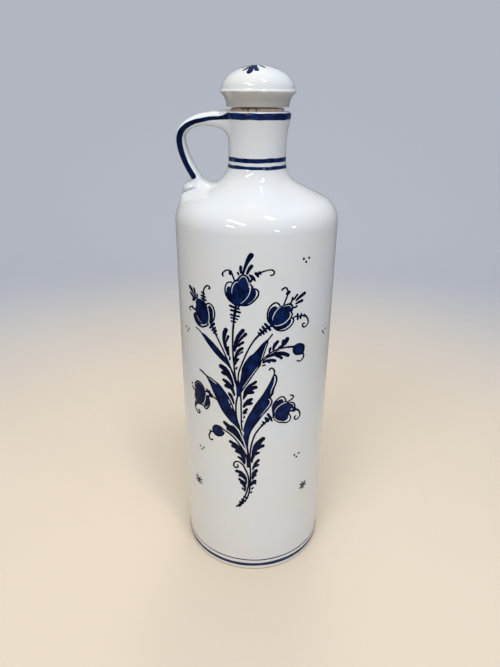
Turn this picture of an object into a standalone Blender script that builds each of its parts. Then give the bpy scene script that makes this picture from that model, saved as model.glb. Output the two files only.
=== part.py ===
"""Delftware decanter jug.

A slip-cast earthenware vessel with a strap handle luted to its rim and shoulder, and a
hollow ceramic stopper whose stem carries a tapered cork.

Metres, +Z up. The origin is the centre of the foot's underside, on the neck's axis.
The handle is at -X and the painted front faces -Y.
"""

import math

import bmesh
import bpy
from mathutils import Vector
from mathutils.geometry import interpolate_bezier

# Vessel
BODY_RADIUS = 0.0425
CYLINDER_HEIGHT = 0.206
WALL = 0.0036
FLOOR_THICKNESS = 0.0045
FLOOR_CORNER_RADIUS = 0.007
FOOT_EDGE_RADIUS = 0.0015
FOOT_RING_WIDTH = 0.0075
FOOT_RECESS = 0.0015
SHOULDER_BEND_RADIUS = 0.013
SHOULDER_SLOPE = math.radians(25.4)
NECK_RADIUS = 0.0145
NECK_FILLET_RADIUS = 0.0129
NECK_STRAIGHT = 0.0043
NECK_FLARE_RADIUS = 0.070
NECK_FLARE_ANGLE = math.radians(13.4)
RIM_ROUND_RADIUS = 0.00165

# Handle
HANDLE_REACH = 0.0241
HANDLE_THICKNESS = 0.0047
HANDLE_WIDTH = 0.012
HANDLE_EDGE_POWER = 2.8
CURL_LENGTH = 0.0066
CURL_WIDTH = 0.0125
CURL_THICKNESS = 0.0058
CURL_SETBACK = 0.0043

# Stopper
STOPPER_STANDOFF = 0.0019
STOPPER_SETBACK = 0.00105
STOPPER_WALL = 0.0042
BASE_EDGE_RADIUS = 0.0005
COVE_RADIUS = 0.008
COVE_ANGLE = math.radians(53)
LIP_ROUND_RADIUS = 0.00035
LIP_STEP = 0.0007
DOME_HEIGHT = 0.0112
VENT_RADIUS = 0.0012
CORK_DEPTH = 0.020
CORK_WALL = 0.0044
CORK_EDGE = 0.0006

# Clearances between pieces that touch
JOINT_GAP = 0.0003
SEAT_GAP = 0.0003

# Fineness of the turned and swept shapes
VESSEL_STEPS = 64
STOPPER_STEPS = 40
STRAP_SIDES = 20
STRAP_STATIONS = 14
BEND_STEPS = 6
ROUND_STEPS = 5
FLARE_STEPS = 4
EDGE_STEPS = 3
LIP_STEPS = 2
DOME_STEPS = 8
CAVITY_STEPS = 5
CURL_STEPS = 12
MERGE_DISTANCE = 0.00002
SHARP_ANGLE = math.radians(40)

# Where the strap's centre line lies, as shares of the spans that it bridges
LANDING_SHARE = 0.43
ROOT_RADIUS_SHARE = 0.5
ROOT_DROP_SHARE = 0.20
ROOT_PULL_SHARES = (0.56, 0.217)
CREST_HEIGHT_SHARE = 0.67
CREST_PULL_SHARES = (0.185, 0.24)
LANDING_PULL_SHARES = (0.35, 0.27)

# Thickness and width along the strap, as shares of its plain section
STRAP_SHARES = (
    (0.00, 2.20, 1.35),
    (0.12, 1.95, 1.28),
    (0.20, 1.60, 1.14),
    (0.29, 1.27, 1.04),
    (0.42, 1.03, 1.00),
    (0.55, 0.98, 1.00),
    (0.80, 1.00, 1.00),
    (0.92, 1.20, 1.08),
    (1.00, 1.70, 1.30),
)

GLAZE_COLOUR = (0.79, 0.79, 0.77, 1)
GLAZE_ROUGHNESS = 0.12
CORK_COLOUR = (0.42, 0.27, 0.15, 1)
CORK_ROUGHNESS = 0.85

QUARTER_TURN = math.radians(90)
HALF_TURN = math.radians(180)


def arc(centre, radius, start, end, steps):
    """Points on a circle in the outline's (radius, height) plane, both ends included."""
    angles = [start + (end - start) * i / steps for i in range(steps + 1)]
    return [(centre[0] + radius * math.cos(a), centre[1] + radius * math.sin(a)) for a in angles]


def quarter_ellipse(centre, across, up, start, end, steps):
    angles = [start + (end - start) * i / steps for i in range(steps + 1)]
    return [(centre[0] + across * math.cos(a), centre[1] + up * math.sin(a)) for a in angles]


class Vessel:
    """The circle centres and tangent points that the outer outline and the lining share."""

    bend = (BODY_RADIUS - SHOULDER_BEND_RADIUS, CYLINDER_HEIGHT)
    bend_top_radius = bend[0] + SHOULDER_BEND_RADIUS * math.sin(SHOULDER_SLOPE)
    bend_top = CYLINDER_HEIGHT + SHOULDER_BEND_RADIUS * math.cos(SHOULDER_SLOPE)
    cone_top_radius = NECK_RADIUS + NECK_FILLET_RADIUS * (1 - math.sin(SHOULDER_SLOPE))
    cone_top = bend_top + (bend_top_radius - cone_top_radius) * math.tan(SHOULDER_SLOPE)
    fillet = (
        NECK_RADIUS + NECK_FILLET_RADIUS,
        cone_top + NECK_FILLET_RADIUS * math.cos(SHOULDER_SLOPE),
    )
    flare = (NECK_RADIUS + NECK_FLARE_RADIUS, fillet[1] + NECK_STRAIGHT)
    rim = (
        flare[0] - (NECK_FLARE_RADIUS + RIM_ROUND_RADIUS) * math.cos(NECK_FLARE_ANGLE),
        flare[1] + (NECK_FLARE_RADIUS + RIM_ROUND_RADIUS) * math.sin(NECK_FLARE_ANGLE),
    )
    rim_top = rim[1] + RIM_ROUND_RADIUS
    rim_radius = rim[0] + RIM_ROUND_RADIUS
    bore_bottom = (NECK_RADIUS - WALL, fillet[1])


def bore_taper():
    """Half angle of the cone that leaves the lining's neck and touches the round rim."""
    across = Vessel.rim[0] - Vessel.bore_bottom[0]
    up = Vessel.rim[1] - Vessel.bore_bottom[1]
    return math.atan2(across, up) - math.asin(RIM_ROUND_RADIUS / math.hypot(across, up))


def bore_radius(height):
    rise = height - Vessel.bore_bottom[1]
    return Vessel.bore_bottom[0] + rise * math.tan(bore_taper())


def shoulder_outline(grow):
    """Neck, shoulder and cylinder from the neck's fillet down, all moved outward by grow."""
    fillet_end = HALF_TURN + QUARTER_TURN - SHOULDER_SLOPE
    bend_start = QUARTER_TURN - SHOULDER_SLOPE
    points = arc(Vessel.fillet, NECK_FILLET_RADIUS - grow, HALF_TURN, fillet_end, BEND_STEPS)
    points += arc(Vessel.bend, SHOULDER_BEND_RADIUS + grow, bend_start, 0, BEND_STEPS)
    return points


def outer_outline(grow=0.0):
    """Outside of the vessel, from the top of the rim down to the foot."""
    lean = NECK_FLARE_ANGLE
    points = arc(Vessel.rim, RIM_ROUND_RADIUS + grow, QUARTER_TURN, -lean, ROUND_STEPS)
    flare_radius = NECK_FLARE_RADIUS - grow
    points += arc(Vessel.flare, flare_radius, HALF_TURN - lean, HALF_TURN, FLARE_STEPS)[1:]
    points += shoulder_outline(grow)
    foot_edge = (BODY_RADIUS - FOOT_EDGE_RADIUS, FOOT_EDGE_RADIUS)
    points += arc(foot_edge, FOOT_EDGE_RADIUS + grow, 0, -QUARTER_TURN, EDGE_STEPS)
    return points


def lining_outline():
    """Inside of the vessel, from the middle of its floor up to the top of the rim."""
    floor = FOOT_RECESS + FLOOR_THICKNESS
    corner = (BODY_RADIUS - WALL - FLOOR_CORNER_RADIUS, floor + FLOOR_CORNER_RADIUS)
    points = [(0, floor)]
    points += arc(corner, FLOOR_CORNER_RADIUS, -QUARTER_TURN, 0, EDGE_STEPS)
    points += reversed(shoulder_outline(-WALL))
    points += arc(Vessel.rim, RIM_ROUND_RADIUS, HALF_TURN - bore_taper(), QUARTER_TURN, ROUND_STEPS)
    return points


def foot_outline():
    """Underside of the vessel, from the foot ring's inner edge to the middle."""
    ring = BODY_RADIUS - FOOT_RING_WIDTH
    return [(ring, 0), (ring - FOOT_RECESS, FOOT_RECESS), (0, FOOT_RECESS)]


def make_material(name, colour, roughness):
    material = bpy.data.materials.new(name)
    material.use_nodes = True
    shader = material.node_tree.nodes["Principled BSDF"]
    shader.inputs["Base Color"].default_value = colour
    shader.inputs["Roughness"].default_value = roughness
    shader.inputs["Metallic"].default_value = 0
    return material


def make_object(name, mesh, collection, material=None):
    piece = bpy.data.objects.new(name, mesh)
    collection.objects.link(piece)
    if material:
        mesh.materials.append(material)
    return piece


def evaluate(piece):
    """Replace an object's mesh by its evaluated one and drop the modifiers."""
    bpy.context.view_layer.update()
    evaluated = piece.evaluated_get(bpy.context.evaluated_depsgraph_get())
    mesh = bpy.data.meshes.new_from_object(evaluated)
    piece.modifiers.clear()
    piece.data = mesh
    mesh.shade_smooth()
    mesh.set_sharp_from_angle(angle=SHARP_ANGLE)


def turn(name, outline, steps, collection, material=None, closed=False):
    """Turn an outline, listed down its outer side, about the Z axis."""
    mesh = bpy.data.meshes.new(name)
    edges = [(i, i + 1) for i in range(len(outline) - 1)]
    if closed:
        edges.append((len(outline) - 1, 0))
    mesh.from_pydata([(radius, 0, height) for radius, height in outline], edges, [])
    piece = make_object(name, mesh, collection, material)
    screw = piece.modifiers.new("Turn", "SCREW")
    screw.steps = steps
    screw.render_steps = steps
    screw.use_merge_vertices = True
    screw.merge_threshold = MERGE_DISTANCE
    evaluate(piece)
    return piece


def boolean(piece, cutter, operation):
    modifier = piece.modifiers.new(operation.title(), "BOOLEAN")
    modifier.operation = operation
    modifier.object = cutter
    evaluate(piece)


def make_cutter(piece):
    piece.hide_render = True
    piece.display_type = "WIRE"
    return piece


def shoulder_landing():
    """Where the strap's centre line meets the shoulder's cone."""
    radius = Vessel.cone_top_radius
    radius += (Vessel.bend_top_radius - Vessel.cone_top_radius) * LANDING_SHARE
    drop = (radius - Vessel.cone_top_radius) * math.tan(SHOULDER_SLOPE)
    return Vector((-radius, 0, Vessel.cone_top - drop))


def strap_path():
    """Centre line of the strap: out from the neck, over the crest, down into the shoulder."""
    landing = shoulder_landing()
    height = Vessel.rim_top - landing.z
    reach = Vessel.rim_radius + HANDLE_REACH - HANDLE_THICKNESS / 2
    root = Vector((-NECK_RADIUS * ROOT_RADIUS_SHARE, 0, Vessel.rim_top - height * ROOT_DROP_SHARE))
    crest = Vector((-reach, 0, landing.z + height * CREST_HEIGHT_SHARE))

    run = crest.x - root.x
    root_pull = root + Vector((run * ROOT_PULL_SHARES[0], 0, height * ROOT_PULL_SHARES[1]))
    above_crest = crest + Vector((0, 0, height * CREST_PULL_SHARES[0]))
    below_crest = crest - Vector((0, 0, height * CREST_PULL_SHARES[1]))
    rise = crest - landing
    landing_pull = Vector((rise.x * LANDING_PULL_SHARES[0], 0, rise.z * LANDING_PULL_SHARES[1]))
    top_run = interpolate_bezier(root, root_pull, above_crest, crest, STRAP_STATIONS)
    above_landing = landing + landing_pull
    down_run = interpolate_bezier(crest, below_crest, above_landing, landing, STRAP_STATIONS)
    sunk = landing - landing_pull.normalized() * HANDLE_THICKNESS
    return top_run + down_run[1:] + [sunk]


def share_at(position, column):
    """Read a strap share at a position from 0 to 1, eased between the listed places."""
    for low, high in zip(STRAP_SHARES, STRAP_SHARES[1:]):
        if position <= high[0]:
            step = (position - low[0]) / (high[0] - low[0])
            eased = step * step * (3 - 2 * step)
            return low[column] + (high[column] - low[column]) * eased
    return STRAP_SHARES[-1][column]


def rounded_section(thickness, width):
    """A rounded rectangle as a superellipse: offsets across the strap and along Y."""
    points = []
    for side in range(STRAP_SIDES):
        angle = 2 * math.pi * side / STRAP_SIDES
        across, along = math.cos(angle), math.sin(angle)
        power = 2 / HANDLE_EDGE_POWER
        points.append((
            math.copysign(abs(across) ** power, across) * thickness / 2,
            math.copysign(abs(along) ** power, along) * width / 2,
        ))
    return points


def loft_strap(name, collection, material):
    """Loft the strap's changing section along its centre line."""
    path = strap_path()
    lengths = [0.0]
    for before, after in zip(path, path[1:]):
        lengths.append(lengths[-1] + (after - before).length)
    shape = bmesh.new()
    rings = []
    for index, centre in enumerate(path):
        tangent = path[min(index + 1, len(path) - 1)] - path[max(index - 1, 0)]
        across = Vector((-tangent.z, 0, tangent.x)).normalized()
        position = lengths[index] / lengths[-1]
        section = rounded_section(
            HANDLE_THICKNESS * share_at(position, 1), HANDLE_WIDTH * share_at(position, 2)
        )
        rings.append([
            shape.verts.new(centre + across * out + Vector((0, aside, 0))) for out, aside in section
        ])
    for ring, following in zip(rings, rings[1:]):
        for side in range(STRAP_SIDES):
            beside = (side + 1) % STRAP_SIDES
            shape.faces.new((ring[side], ring[beside], following[beside], following[side]))
    shape.faces.new(rings[0])
    shape.faces.new(reversed(rings[-1]))
    bmesh.ops.recalc_face_normals(shape, faces=shape.faces)
    mesh = bpy.data.meshes.new(name)
    shape.to_mesh(mesh)
    shape.free()
    return make_object(name, mesh, collection, material)


def make_curl(collection):
    """The strap's tail, pressed flat and rolled outward where it lands on the shoulder."""
    slope = Vector((-math.cos(SHOULDER_SLOPE), 0, -math.sin(SHOULDER_SLOPE)))
    outward = Vector((-math.sin(SHOULDER_SLOPE), 0, math.cos(SHOULDER_SLOPE)))
    centre = shoulder_landing() + slope * CURL_SETBACK + outward * CURL_THICKNESS / 2
    mesh = bpy.data.meshes.new("curl_shape")
    shape = bmesh.new()
    bmesh.ops.create_uvsphere(shape, u_segments=STRAP_SIDES, v_segments=CURL_STEPS, radius=1)
    bmesh.ops.scale(shape, vec=(CURL_LENGTH / 2, CURL_WIDTH / 2, CURL_THICKNESS / 2), verts=shape.verts)
    shape.to_mesh(mesh)
    shape.free()
    curl = make_object("curl_shape", mesh, collection)
    curl.location = centre
    curl.rotation_euler = (0, -SHOULDER_SLOPE, 0)
    return make_cutter(curl)


def make_vessel(parts, glaze):
    outline = lining_outline() + outer_outline()[1:] + foot_outline()
    return turn("jug_body", outline, VESSEL_STEPS, parts, glaze)


def make_handle(parts, cutters, glaze):
    """Strap and curl in one, trimmed to follow the rim, neck and shoulder."""
    handle = loft_strap("handle", parts, glaze)
    boolean(handle, make_curl(cutters), "UNION")
    top = Vessel.rim_top + JOINT_GAP
    envelope = [(0, top)] + outer_outline(JOINT_GAP) + [(0, -JOINT_GAP)]
    boolean(handle, make_cutter(turn("vessel_envelope", envelope, VESSEL_STEPS, cutters)), "DIFFERENCE")
    return handle


def cork_radius(drop):
    """Radius of the cork at a depth below the stopper's underside."""
    height = Vessel.rim_top + STOPPER_STANDOFF - drop
    return bore_radius(height) - SEAT_GAP / math.cos(bore_taper())


def stem_radius():
    return cork_radius(STOPPER_STANDOFF + CORK_DEPTH) - CORK_WALL


def make_stopper_head(parts, glaze):
    """Dome, lip, cove and stem. Heights are above its underside.

    The head is hollow, and a fine vent down the stem lets its air out in the kiln. The
    stem ends flush with the cork.
    """
    base = Vessel.rim_radius - STOPPER_SETBACK
    cove = (base + COVE_RADIUS, BASE_EDGE_RADIUS)
    lip_radius = cove[0] - COVE_RADIUS * math.cos(COVE_ANGLE)
    lip_height = cove[1] + COVE_RADIUS * math.sin(COVE_ANGLE)
    lip = (lip_radius - LIP_ROUND_RADIUS, lip_height + LIP_ROUND_RADIUS)
    dome_radius = lip_radius - LIP_STEP
    dome_foot = lip[1] + LIP_ROUND_RADIUS
    stem = stem_radius()
    bottom = STOPPER_STANDOFF + CORK_DEPTH

    outline = quarter_ellipse((0, dome_foot), dome_radius, DOME_HEIGHT, QUARTER_TURN, 0, DOME_STEPS)
    outline += arc(lip, LIP_ROUND_RADIUS, QUARTER_TURN, -QUARTER_TURN / 2, LIP_STEPS)
    outline += arc(cove, COVE_RADIUS, HALF_TURN - COVE_ANGLE, HALF_TURN, FLARE_STEPS)[1:]
    edge = (base - BASE_EDGE_RADIUS, BASE_EDGE_RADIUS)
    outline += arc(edge, BASE_EDGE_RADIUS, 0, -QUARTER_TURN, LIP_STEPS)[1:]
    outline += [(stem, 0), (stem, -bottom), (VENT_RADIUS, -bottom), (VENT_RADIUS, STOPPER_WALL)]
    outline += [(base - STOPPER_WALL, STOPPER_WALL)]
    across = dome_radius - STOPPER_WALL
    up = DOME_HEIGHT - STOPPER_WALL
    outline += quarter_ellipse((0, dome_foot), across, up, 0, QUARTER_TURN, CAVITY_STEPS)
    return turn("stopper_head", outline, STOPPER_STEPS, parts, glaze)


def make_stopper_cork(parts, cork):
    """Tapered sleeve that follows the bore. Heights are above the stopper's underside."""
    bottom = STOPPER_STANDOFF + CORK_DEPTH
    hole = stem_radius() + JOINT_GAP
    outline = [
        (hole, -JOINT_GAP),
        (cork_radius(JOINT_GAP), -JOINT_GAP),
        (cork_radius(bottom - CORK_EDGE), CORK_EDGE - bottom),
        (cork_radius(bottom) - CORK_EDGE, -bottom),
        (hole, -bottom),
    ]
    return turn("stopper_cork", outline, STOPPER_STEPS, parts, cork, closed=True)


def clear_scene():
    for item in list(bpy.data.objects):
        bpy.data.objects.remove(item, do_unlink=True)


def make_collection(name):
    collection = bpy.data.collections.new(name)
    bpy.context.scene.collection.children.link(collection)
    return collection


def main():
    clear_scene()
    parts = make_collection("delftware_jug")
    cutters = make_collection("cutters")
    make_vessel(parts, make_material("vessel glaze", GLAZE_COLOUR, GLAZE_ROUGHNESS))
    make_handle(parts, cutters, make_material("handle glaze", GLAZE_COLOUR, GLAZE_ROUGHNESS))

    slide = bpy.data.objects.new("stopper_slide", None)
    slide.location = (0, 0, Vessel.rim_top + STOPPER_STANDOFF)
    parts.objects.link(slide)
    stopper = (
        make_stopper_head(parts, make_material("stopper glaze", GLAZE_COLOUR, GLAZE_ROUGHNESS)),
        make_stopper_cork(parts, make_material("cork", CORK_COLOUR, CORK_ROUGHNESS)),
    )
    for piece in stopper:
        piece.parent = slide


main()
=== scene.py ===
"""Delftware decanter jug: glazed earthenware with a cobalt spray, a strap handle and a corked stopper.

Sizes are in millimetres and are turned to metres where a mesh is made. +Z is up, the origin is
under the middle of the foot, the handle is at -X and the painted front faces -Y.
"""

import math
import random

import bmesh
import bpy
import numpy as np
from mathutils import Matrix, Vector


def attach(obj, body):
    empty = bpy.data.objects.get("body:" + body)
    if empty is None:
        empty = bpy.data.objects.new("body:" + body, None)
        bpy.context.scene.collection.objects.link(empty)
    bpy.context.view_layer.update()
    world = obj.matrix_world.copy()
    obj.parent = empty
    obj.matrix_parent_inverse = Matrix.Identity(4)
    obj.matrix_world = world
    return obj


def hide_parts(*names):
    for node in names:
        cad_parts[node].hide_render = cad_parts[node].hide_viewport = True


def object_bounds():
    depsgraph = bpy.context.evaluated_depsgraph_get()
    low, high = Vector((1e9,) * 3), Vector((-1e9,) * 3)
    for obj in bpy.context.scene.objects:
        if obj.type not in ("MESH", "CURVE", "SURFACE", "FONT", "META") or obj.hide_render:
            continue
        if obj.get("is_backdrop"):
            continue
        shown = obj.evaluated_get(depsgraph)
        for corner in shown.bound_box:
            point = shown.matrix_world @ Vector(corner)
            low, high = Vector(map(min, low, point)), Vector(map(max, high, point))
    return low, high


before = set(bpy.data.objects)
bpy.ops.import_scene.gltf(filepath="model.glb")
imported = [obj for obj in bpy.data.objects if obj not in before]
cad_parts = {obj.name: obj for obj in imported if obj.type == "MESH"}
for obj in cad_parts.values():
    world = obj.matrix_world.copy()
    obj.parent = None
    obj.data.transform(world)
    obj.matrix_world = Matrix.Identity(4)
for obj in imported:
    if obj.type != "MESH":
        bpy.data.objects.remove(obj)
cad_low, cad_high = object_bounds()

# THE VESSEL
# Slip-cast white earthenware in one piece: foot, cylinder, shoulder, neck and rolled rim. It is
# turned here from its outline, outside and lining, and stands on a ring wiped free of glaze.

MM = 0.001
QUARTER, HALF = math.radians(90), math.radians(180)
FILM = 0.08                              # glaze and paint together: the clay stays that much inside the box
WALL, INNER_FLOOR, INNER_CORNER = 3.6, 6.0, 7.0
BODY_RADIUS = cad_high.x / MM - FILM
NECK_RADIUS, NECK_STRAIGHT = 14.5 - FILM, 4.3
SHOULDER_SLOPE, SHOULDER_BEND, SHOULDER_HEIGHT = math.radians(25.4), 13.0, 206.0
NECK_FILLET = 12.9
FLARE_LEAN, FLARE_RADIUS = math.radians(13.4), 70.0
BEAD_RADIUS = 1.65                       # the rolled rim
FOOT_ROUND = 1.5

# the outline's corners and centres, as (radius, height)
bend = (BODY_RADIUS - SHOULDER_BEND, SHOULDER_HEIGHT)
bend_top = (bend[0] + SHOULDER_BEND * math.sin(SHOULDER_SLOPE), bend[1] + SHOULDER_BEND * math.cos(SHOULDER_SLOPE))
cone_top_radius = NECK_RADIUS + NECK_FILLET * (1 - math.sin(SHOULDER_SLOPE))
cone_top = (cone_top_radius, bend_top[1] + (bend_top[0] - cone_top_radius) * math.tan(SHOULDER_SLOPE))
fillet = (NECK_RADIUS + NECK_FILLET, cone_top[1] + NECK_FILLET * math.cos(SHOULDER_SLOPE))
flare = (NECK_RADIUS + FLARE_RADIUS, fillet[1] + NECK_STRAIGHT)
to_bead = FLARE_RADIUS + BEAD_RADIUS
bead = (flare[0] - to_bead * math.cos(FLARE_LEAN), flare[1] + to_bead * math.sin(FLARE_LEAN))
bore = (NECK_RADIUS + FILM - WALL, fillet[1])
bore_lean = math.atan2(bead[0] - bore[0], bead[1] - bore[1])
bore_lean -= math.asin(BEAD_RADIUS / math.hypot(bead[0] - bore[0], bead[1] - bore[1]))


def arc(centre, across, start, end, steps, up=None):
    """Points on a circle, or on an ellipse that rises by up, in the outline's plane."""
    angles = np.linspace(start, end, steps + 1)
    return [(centre[0] + across * math.cos(a), centre[1] + (up or across) * math.sin(a)) for a in angles]


def shoulder_line(grow, steps):
    """The outline from the neck's foot down to the cylinder, moved outward by grow."""
    line = arc(fillet, NECK_FILLET - grow, HALF, HALF + QUARTER - SHOULDER_SLOPE, steps)
    turned = arc(bend, SHOULDER_BEND + grow, QUARTER - SHOULDER_SLOPE, 0, steps)
    cone = np.linspace(line[-1], turned[0], steps // 2 + 1)[1:-1]
    return line + [tuple(point) for point in cone] + turned


outside = arc(bead, BEAD_RADIUS, QUARTER, -FLARE_LEAN, 14)
outside += arc(flare, FLARE_RADIUS, HALF - FLARE_LEAN, HALF, 16)[1:]
outside += shoulder_line(0, 20)
outside += [(BODY_RADIUS, z) for z in range(190, 10, -15)]
outside += arc((BODY_RADIUS - FOOT_ROUND, FOOT_ROUND), FOOT_ROUND, 0, -QUARTER, 8)
lining = [(0, INNER_FLOOR), (16.0, INNER_FLOOR)]
lining += arc((BODY_RADIUS - WALL - INNER_CORNER, INNER_FLOOR + INNER_CORNER), INNER_CORNER, -QUARTER, 0, 10)
lining += reversed(shoulder_line(-WALL, 12))
lining += arc(bead, BEAD_RADIUS, HALF - bore_lean, QUARTER, 12)
# the ring that it stands on, and the raised underside within it
under_foot = [(BODY_RADIUS - inward, height) for inward, height in ((7.4, 0), (7.6, 0.1), (8.8, 1.35), (9.4, 1.5))]
under_foot += [(0, 1.5)]


def show(name, shape, material, sharp=40):
    """Make a finished piece of a bmesh: in metres, faces outward, smooth but for sharp edges."""
    bmesh.ops.recalc_face_normals(shape, faces=shape.faces)
    mesh = bpy.data.meshes.new(name)
    shape.to_mesh(mesh)
    shape.free()
    mesh.shade_smooth()
    mesh.set_sharp_from_angle(angle=math.radians(sharp))
    mesh.materials.append(material)
    piece = bpy.data.objects.new(name, mesh)
    bpy.context.scene.collection.objects.link(piece)
    return piece


def join_rings(shape, rings):
    """Faces between each ring of points and the next. A ring may be one point over and over, as a cap's middle."""
    for ring, following in zip(rings, rings[1:]):
        for i in range(len(ring)):
            corners = (ring[i - 1], following[i - 1], following[i], ring[i])
            shape.faces.new(tuple(dict.fromkeys(corners)))


def turn(name, outline, steps, material, ripple=None):
    """Turn an outline about Z. Its ends on the axis become one point each, or it closes on itself.

    ripple says by how much to grow the radius and lift the height at each place.
    """
    shape = bmesh.new()
    rings = []
    for radius, height in outline:
        if radius == 0:
            rings.append([shape.verts.new((0, 0, height * MM))] * steps)
            continue
        ring = []
        for i in range(steps):
            angle = 2 * math.pi * i / steps
            grow, lift = ripple(angle, radius, height) if ripple else (0, 0)
            around = (radius + grow) * MM
            ring.append(shape.verts.new((around * math.cos(angle), around * math.sin(angle), (height + lift) * MM)))
        rings.append(ring)
    if outline[0][0] and outline[-1][0]:
        rings.append(rings[0])
    join_rings(shape, rings)
    return show(name, shape, material)


def linear(hex_colour):
    """An sRGB hex colour as the linear colour that a shader takes."""
    parts = [int(hex_colour[i:i + 2], 16) / 255 for i in (1, 3, 5)]
    return tuple(c / 12.92 if c <= 0.04045 else ((c + 0.055) / 1.055) ** 2.4 for c in parts) + (1.0,)


def add_node(tree, kind, feed=(), **settings):
    """Add a node: settings name its properties, and feed pairs its inputs with values or sockets."""
    node = tree.nodes.new(kind)
    for key, value in settings.items():
        setattr(node, key, value)
    for key, value in dict(feed).items():
        if isinstance(value, bpy.types.NodeSocket):
            tree.links.new(value, node.inputs[key])
        else:
            node.inputs[key].default_value = value
    return node


# Tin glaze: opaque white over a pale body, dipped and fired to a gloss. It is never quite even:
# it shades from warm to cool over centimetres, has pinholes and iron specks, and its surface
# waves a little, which bends the reflections.
def tin_glaze(name, warm, cool, wiped_below=None, film_and_shade=None):
    material = bpy.data.materials.new(name)
    material.use_nodes = True
    tree = material.node_tree
    shader = tree.nodes["Principled BSDF"]
    place = add_node(tree, "ShaderNodeTexCoord").outputs["Object"]
    drift = add_node(tree, "ShaderNodeTexNoise", {"Vector": place, "Scale": 32, "Detail": 2.0})
    drift = add_node(tree, "ShaderNodeMapRange", {
        "Value": drift.outputs["Fac"], "From Min": 0.35, "From Max": 0.65})
    tone = add_node(tree, "ShaderNodeMix", {
        "Factor": drift.outputs["Result"], "A": linear(warm), "B": linear(cool)}, data_type="RGBA")
    # iron specks 0.3 mm across, about one to the square centimetre
    cells = add_node(tree, "ShaderNodeTexVoronoi", {"Vector": place, "Scale": 150})
    speck = add_node(tree, "ShaderNodeMapRange", {
        "Value": cells.outputs["Distance"], "From Min": 0.018, "From Max": 0.032, "To Min": 1.0, "To Max": 0.0})
    rare = add_node(tree, "ShaderNodeSeparateColor", {"Color": cells.outputs["Color"]})
    rare = add_node(tree, "ShaderNodeMath", {0: rare.outputs["Red"], 1: 0.72}, operation="GREATER_THAN")
    rare = add_node(tree, "ShaderNodeMath", {0: rare.outputs[0], 1: speck.outputs["Result"]}, operation="MULTIPLY")
    rare = add_node(tree, "ShaderNodeMath", {0: rare.outputs[0], 1: 0.45}, operation="MULTIPLY")
    tone = add_node(tree, "ShaderNodeMix", {
        "Factor": rare.outputs[0], "A": tone.outputs["Result"], "B": linear("#7D7466")}, data_type="RGBA")
    gloss = add_node(tree, "ShaderNodeTexNoise", {"Vector": place, "Scale": 90, "Detail": 2.0})
    gloss = add_node(tree, "ShaderNodeMapRange", {
        "Value": gloss.outputs["Fac"], "From Min": 0.3, "From Max": 0.7, "To Min": 0.04, "To Max": 0.09})
    colour, rough = tone.outputs["Result"], gloss.outputs["Result"]
    if wiped_below:
        # the glaze is wiped off below this height, along a ragged edge, and the bare clay is matt
        height = add_node(tree, "ShaderNodeSeparateXYZ", {"Vector": place})
        ragged = add_node(tree, "ShaderNodeTexNoise", {"Vector": place, "Scale": 260, "Detail": 3.0})
        edge = add_node(tree, "ShaderNodeMath", {
            0: ragged.outputs["Fac"], 1: -wiped_below * MM, 2: height.outputs["Z"]}, operation="MULTIPLY_ADD")
        bare = add_node(tree, "ShaderNodeMapRange", {
            "Value": edge.outputs[0], "From Min": 0.0, "From Max": 0.00008, "To Min": 1.0, "To Max": 0.0})
        colour = add_node(tree, "ShaderNodeMix", {
            "Factor": bare.outputs["Result"], "A": colour, "B": linear("#CDBBA3"),
        }, data_type="RGBA").outputs["Result"]
        rough = add_node(tree, "ShaderNodeMix", {
            "Factor": bare.outputs["Result"], "A": rough, "B": 0.85}).outputs["Result"]
    if film_and_shade:
        # partly a real film of fingers and drips, partly painted shade under the lip: a patchy grey-brown darkening
        # between two heights
        height = add_node(tree, "ShaderNodeSeparateXYZ", {"Vector": place})
        patch = add_node(tree, "ShaderNodeTexNoise", {"Vector": place, "Scale": 120, "Detail": 3.0})
        edge = add_node(tree, "ShaderNodeMath", {0: patch.outputs["Fac"], 1: -0.002, 2: height.outputs["Z"]},
                        operation="MULTIPLY_ADD")
        dirt_and_shade = add_node(tree, "ShaderNodeMapRange", {
            "Value": edge.outputs[0], "From Min": (film_and_shade[1] - 1.6) * MM, "From Max": (film_and_shade[1] - 0.8) * MM,
            "To Min": 0.54, "To Max": 0.0})
        under = add_node(tree, "ShaderNodeMath", {
            0: height.outputs["Z"], 1: film_and_shade[0] * MM}, operation="GREATER_THAN")
        dirt_and_shade = add_node(tree, "ShaderNodeMath", {
            0: dirt_and_shade.outputs["Result"], 1: under.outputs[0]}, operation="MULTIPLY")
        colour = add_node(tree, "ShaderNodeMix", {
            "Factor": dirt_and_shade.outputs[0], "A": colour, "B": linear("#8F8779")}, data_type="RGBA").outputs["Result"]
    tree.links.new(colour, shader.inputs["Base Color"])
    tree.links.new(rough, shader.inputs["Roughness"])
    # waves of about 9 mm, and an orange peel of 1.5 mm that is far shallower
    waves = add_node(tree, "ShaderNodeTexNoise", {"Vector": place, "Scale": 110, "Detail": 1.0})
    peel = add_node(tree, "ShaderNodeTexNoise", {"Vector": place, "Scale": 650, "Detail": 1.0})
    waves = add_node(tree, "ShaderNodeBump", {"Height": waves.outputs["Fac"], "Strength": 0.5, "Distance": 0.00006})
    peel = add_node(tree, "ShaderNodeBump", {
        "Height": peel.outputs["Fac"], "Strength": 0.4, "Distance": 0.000006, "Normal": waves.outputs["Normal"]})
    tree.links.new(peel.outputs["Normal"], shader.inputs["Normal"])
    shader.inputs["IOR"].default_value = 1.5
    return material


vessel_glaze = tin_glaze("tin glaze on the vessel", "#E0DFDA", "#DDDFDF", wiped_below=0.9)
wall_line = np.array(outside)
# the pad of clay and slip under the handle's tail: how high it stands off the shoulder, by radius
PAD_PROFILE = np.array([
    (20.6, 0.0), (23.5, 0.9), (27.0, 2.3), (30.0, 2.9), (36.4, 3.0), (37.1, 2.7), (38.0, 1.9),
    (38.7, 1.1), (39.8, 0.3), (40.9, 0.05), (41.7, 0.0),
])
PAD_HALF_WIDTH, PAD_EDGE = 5.5, 5.5


def eased(share):
    """A share between 0 and 1 that starts and ends without a corner."""
    return share * share * (3 - 2 * share)


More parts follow.
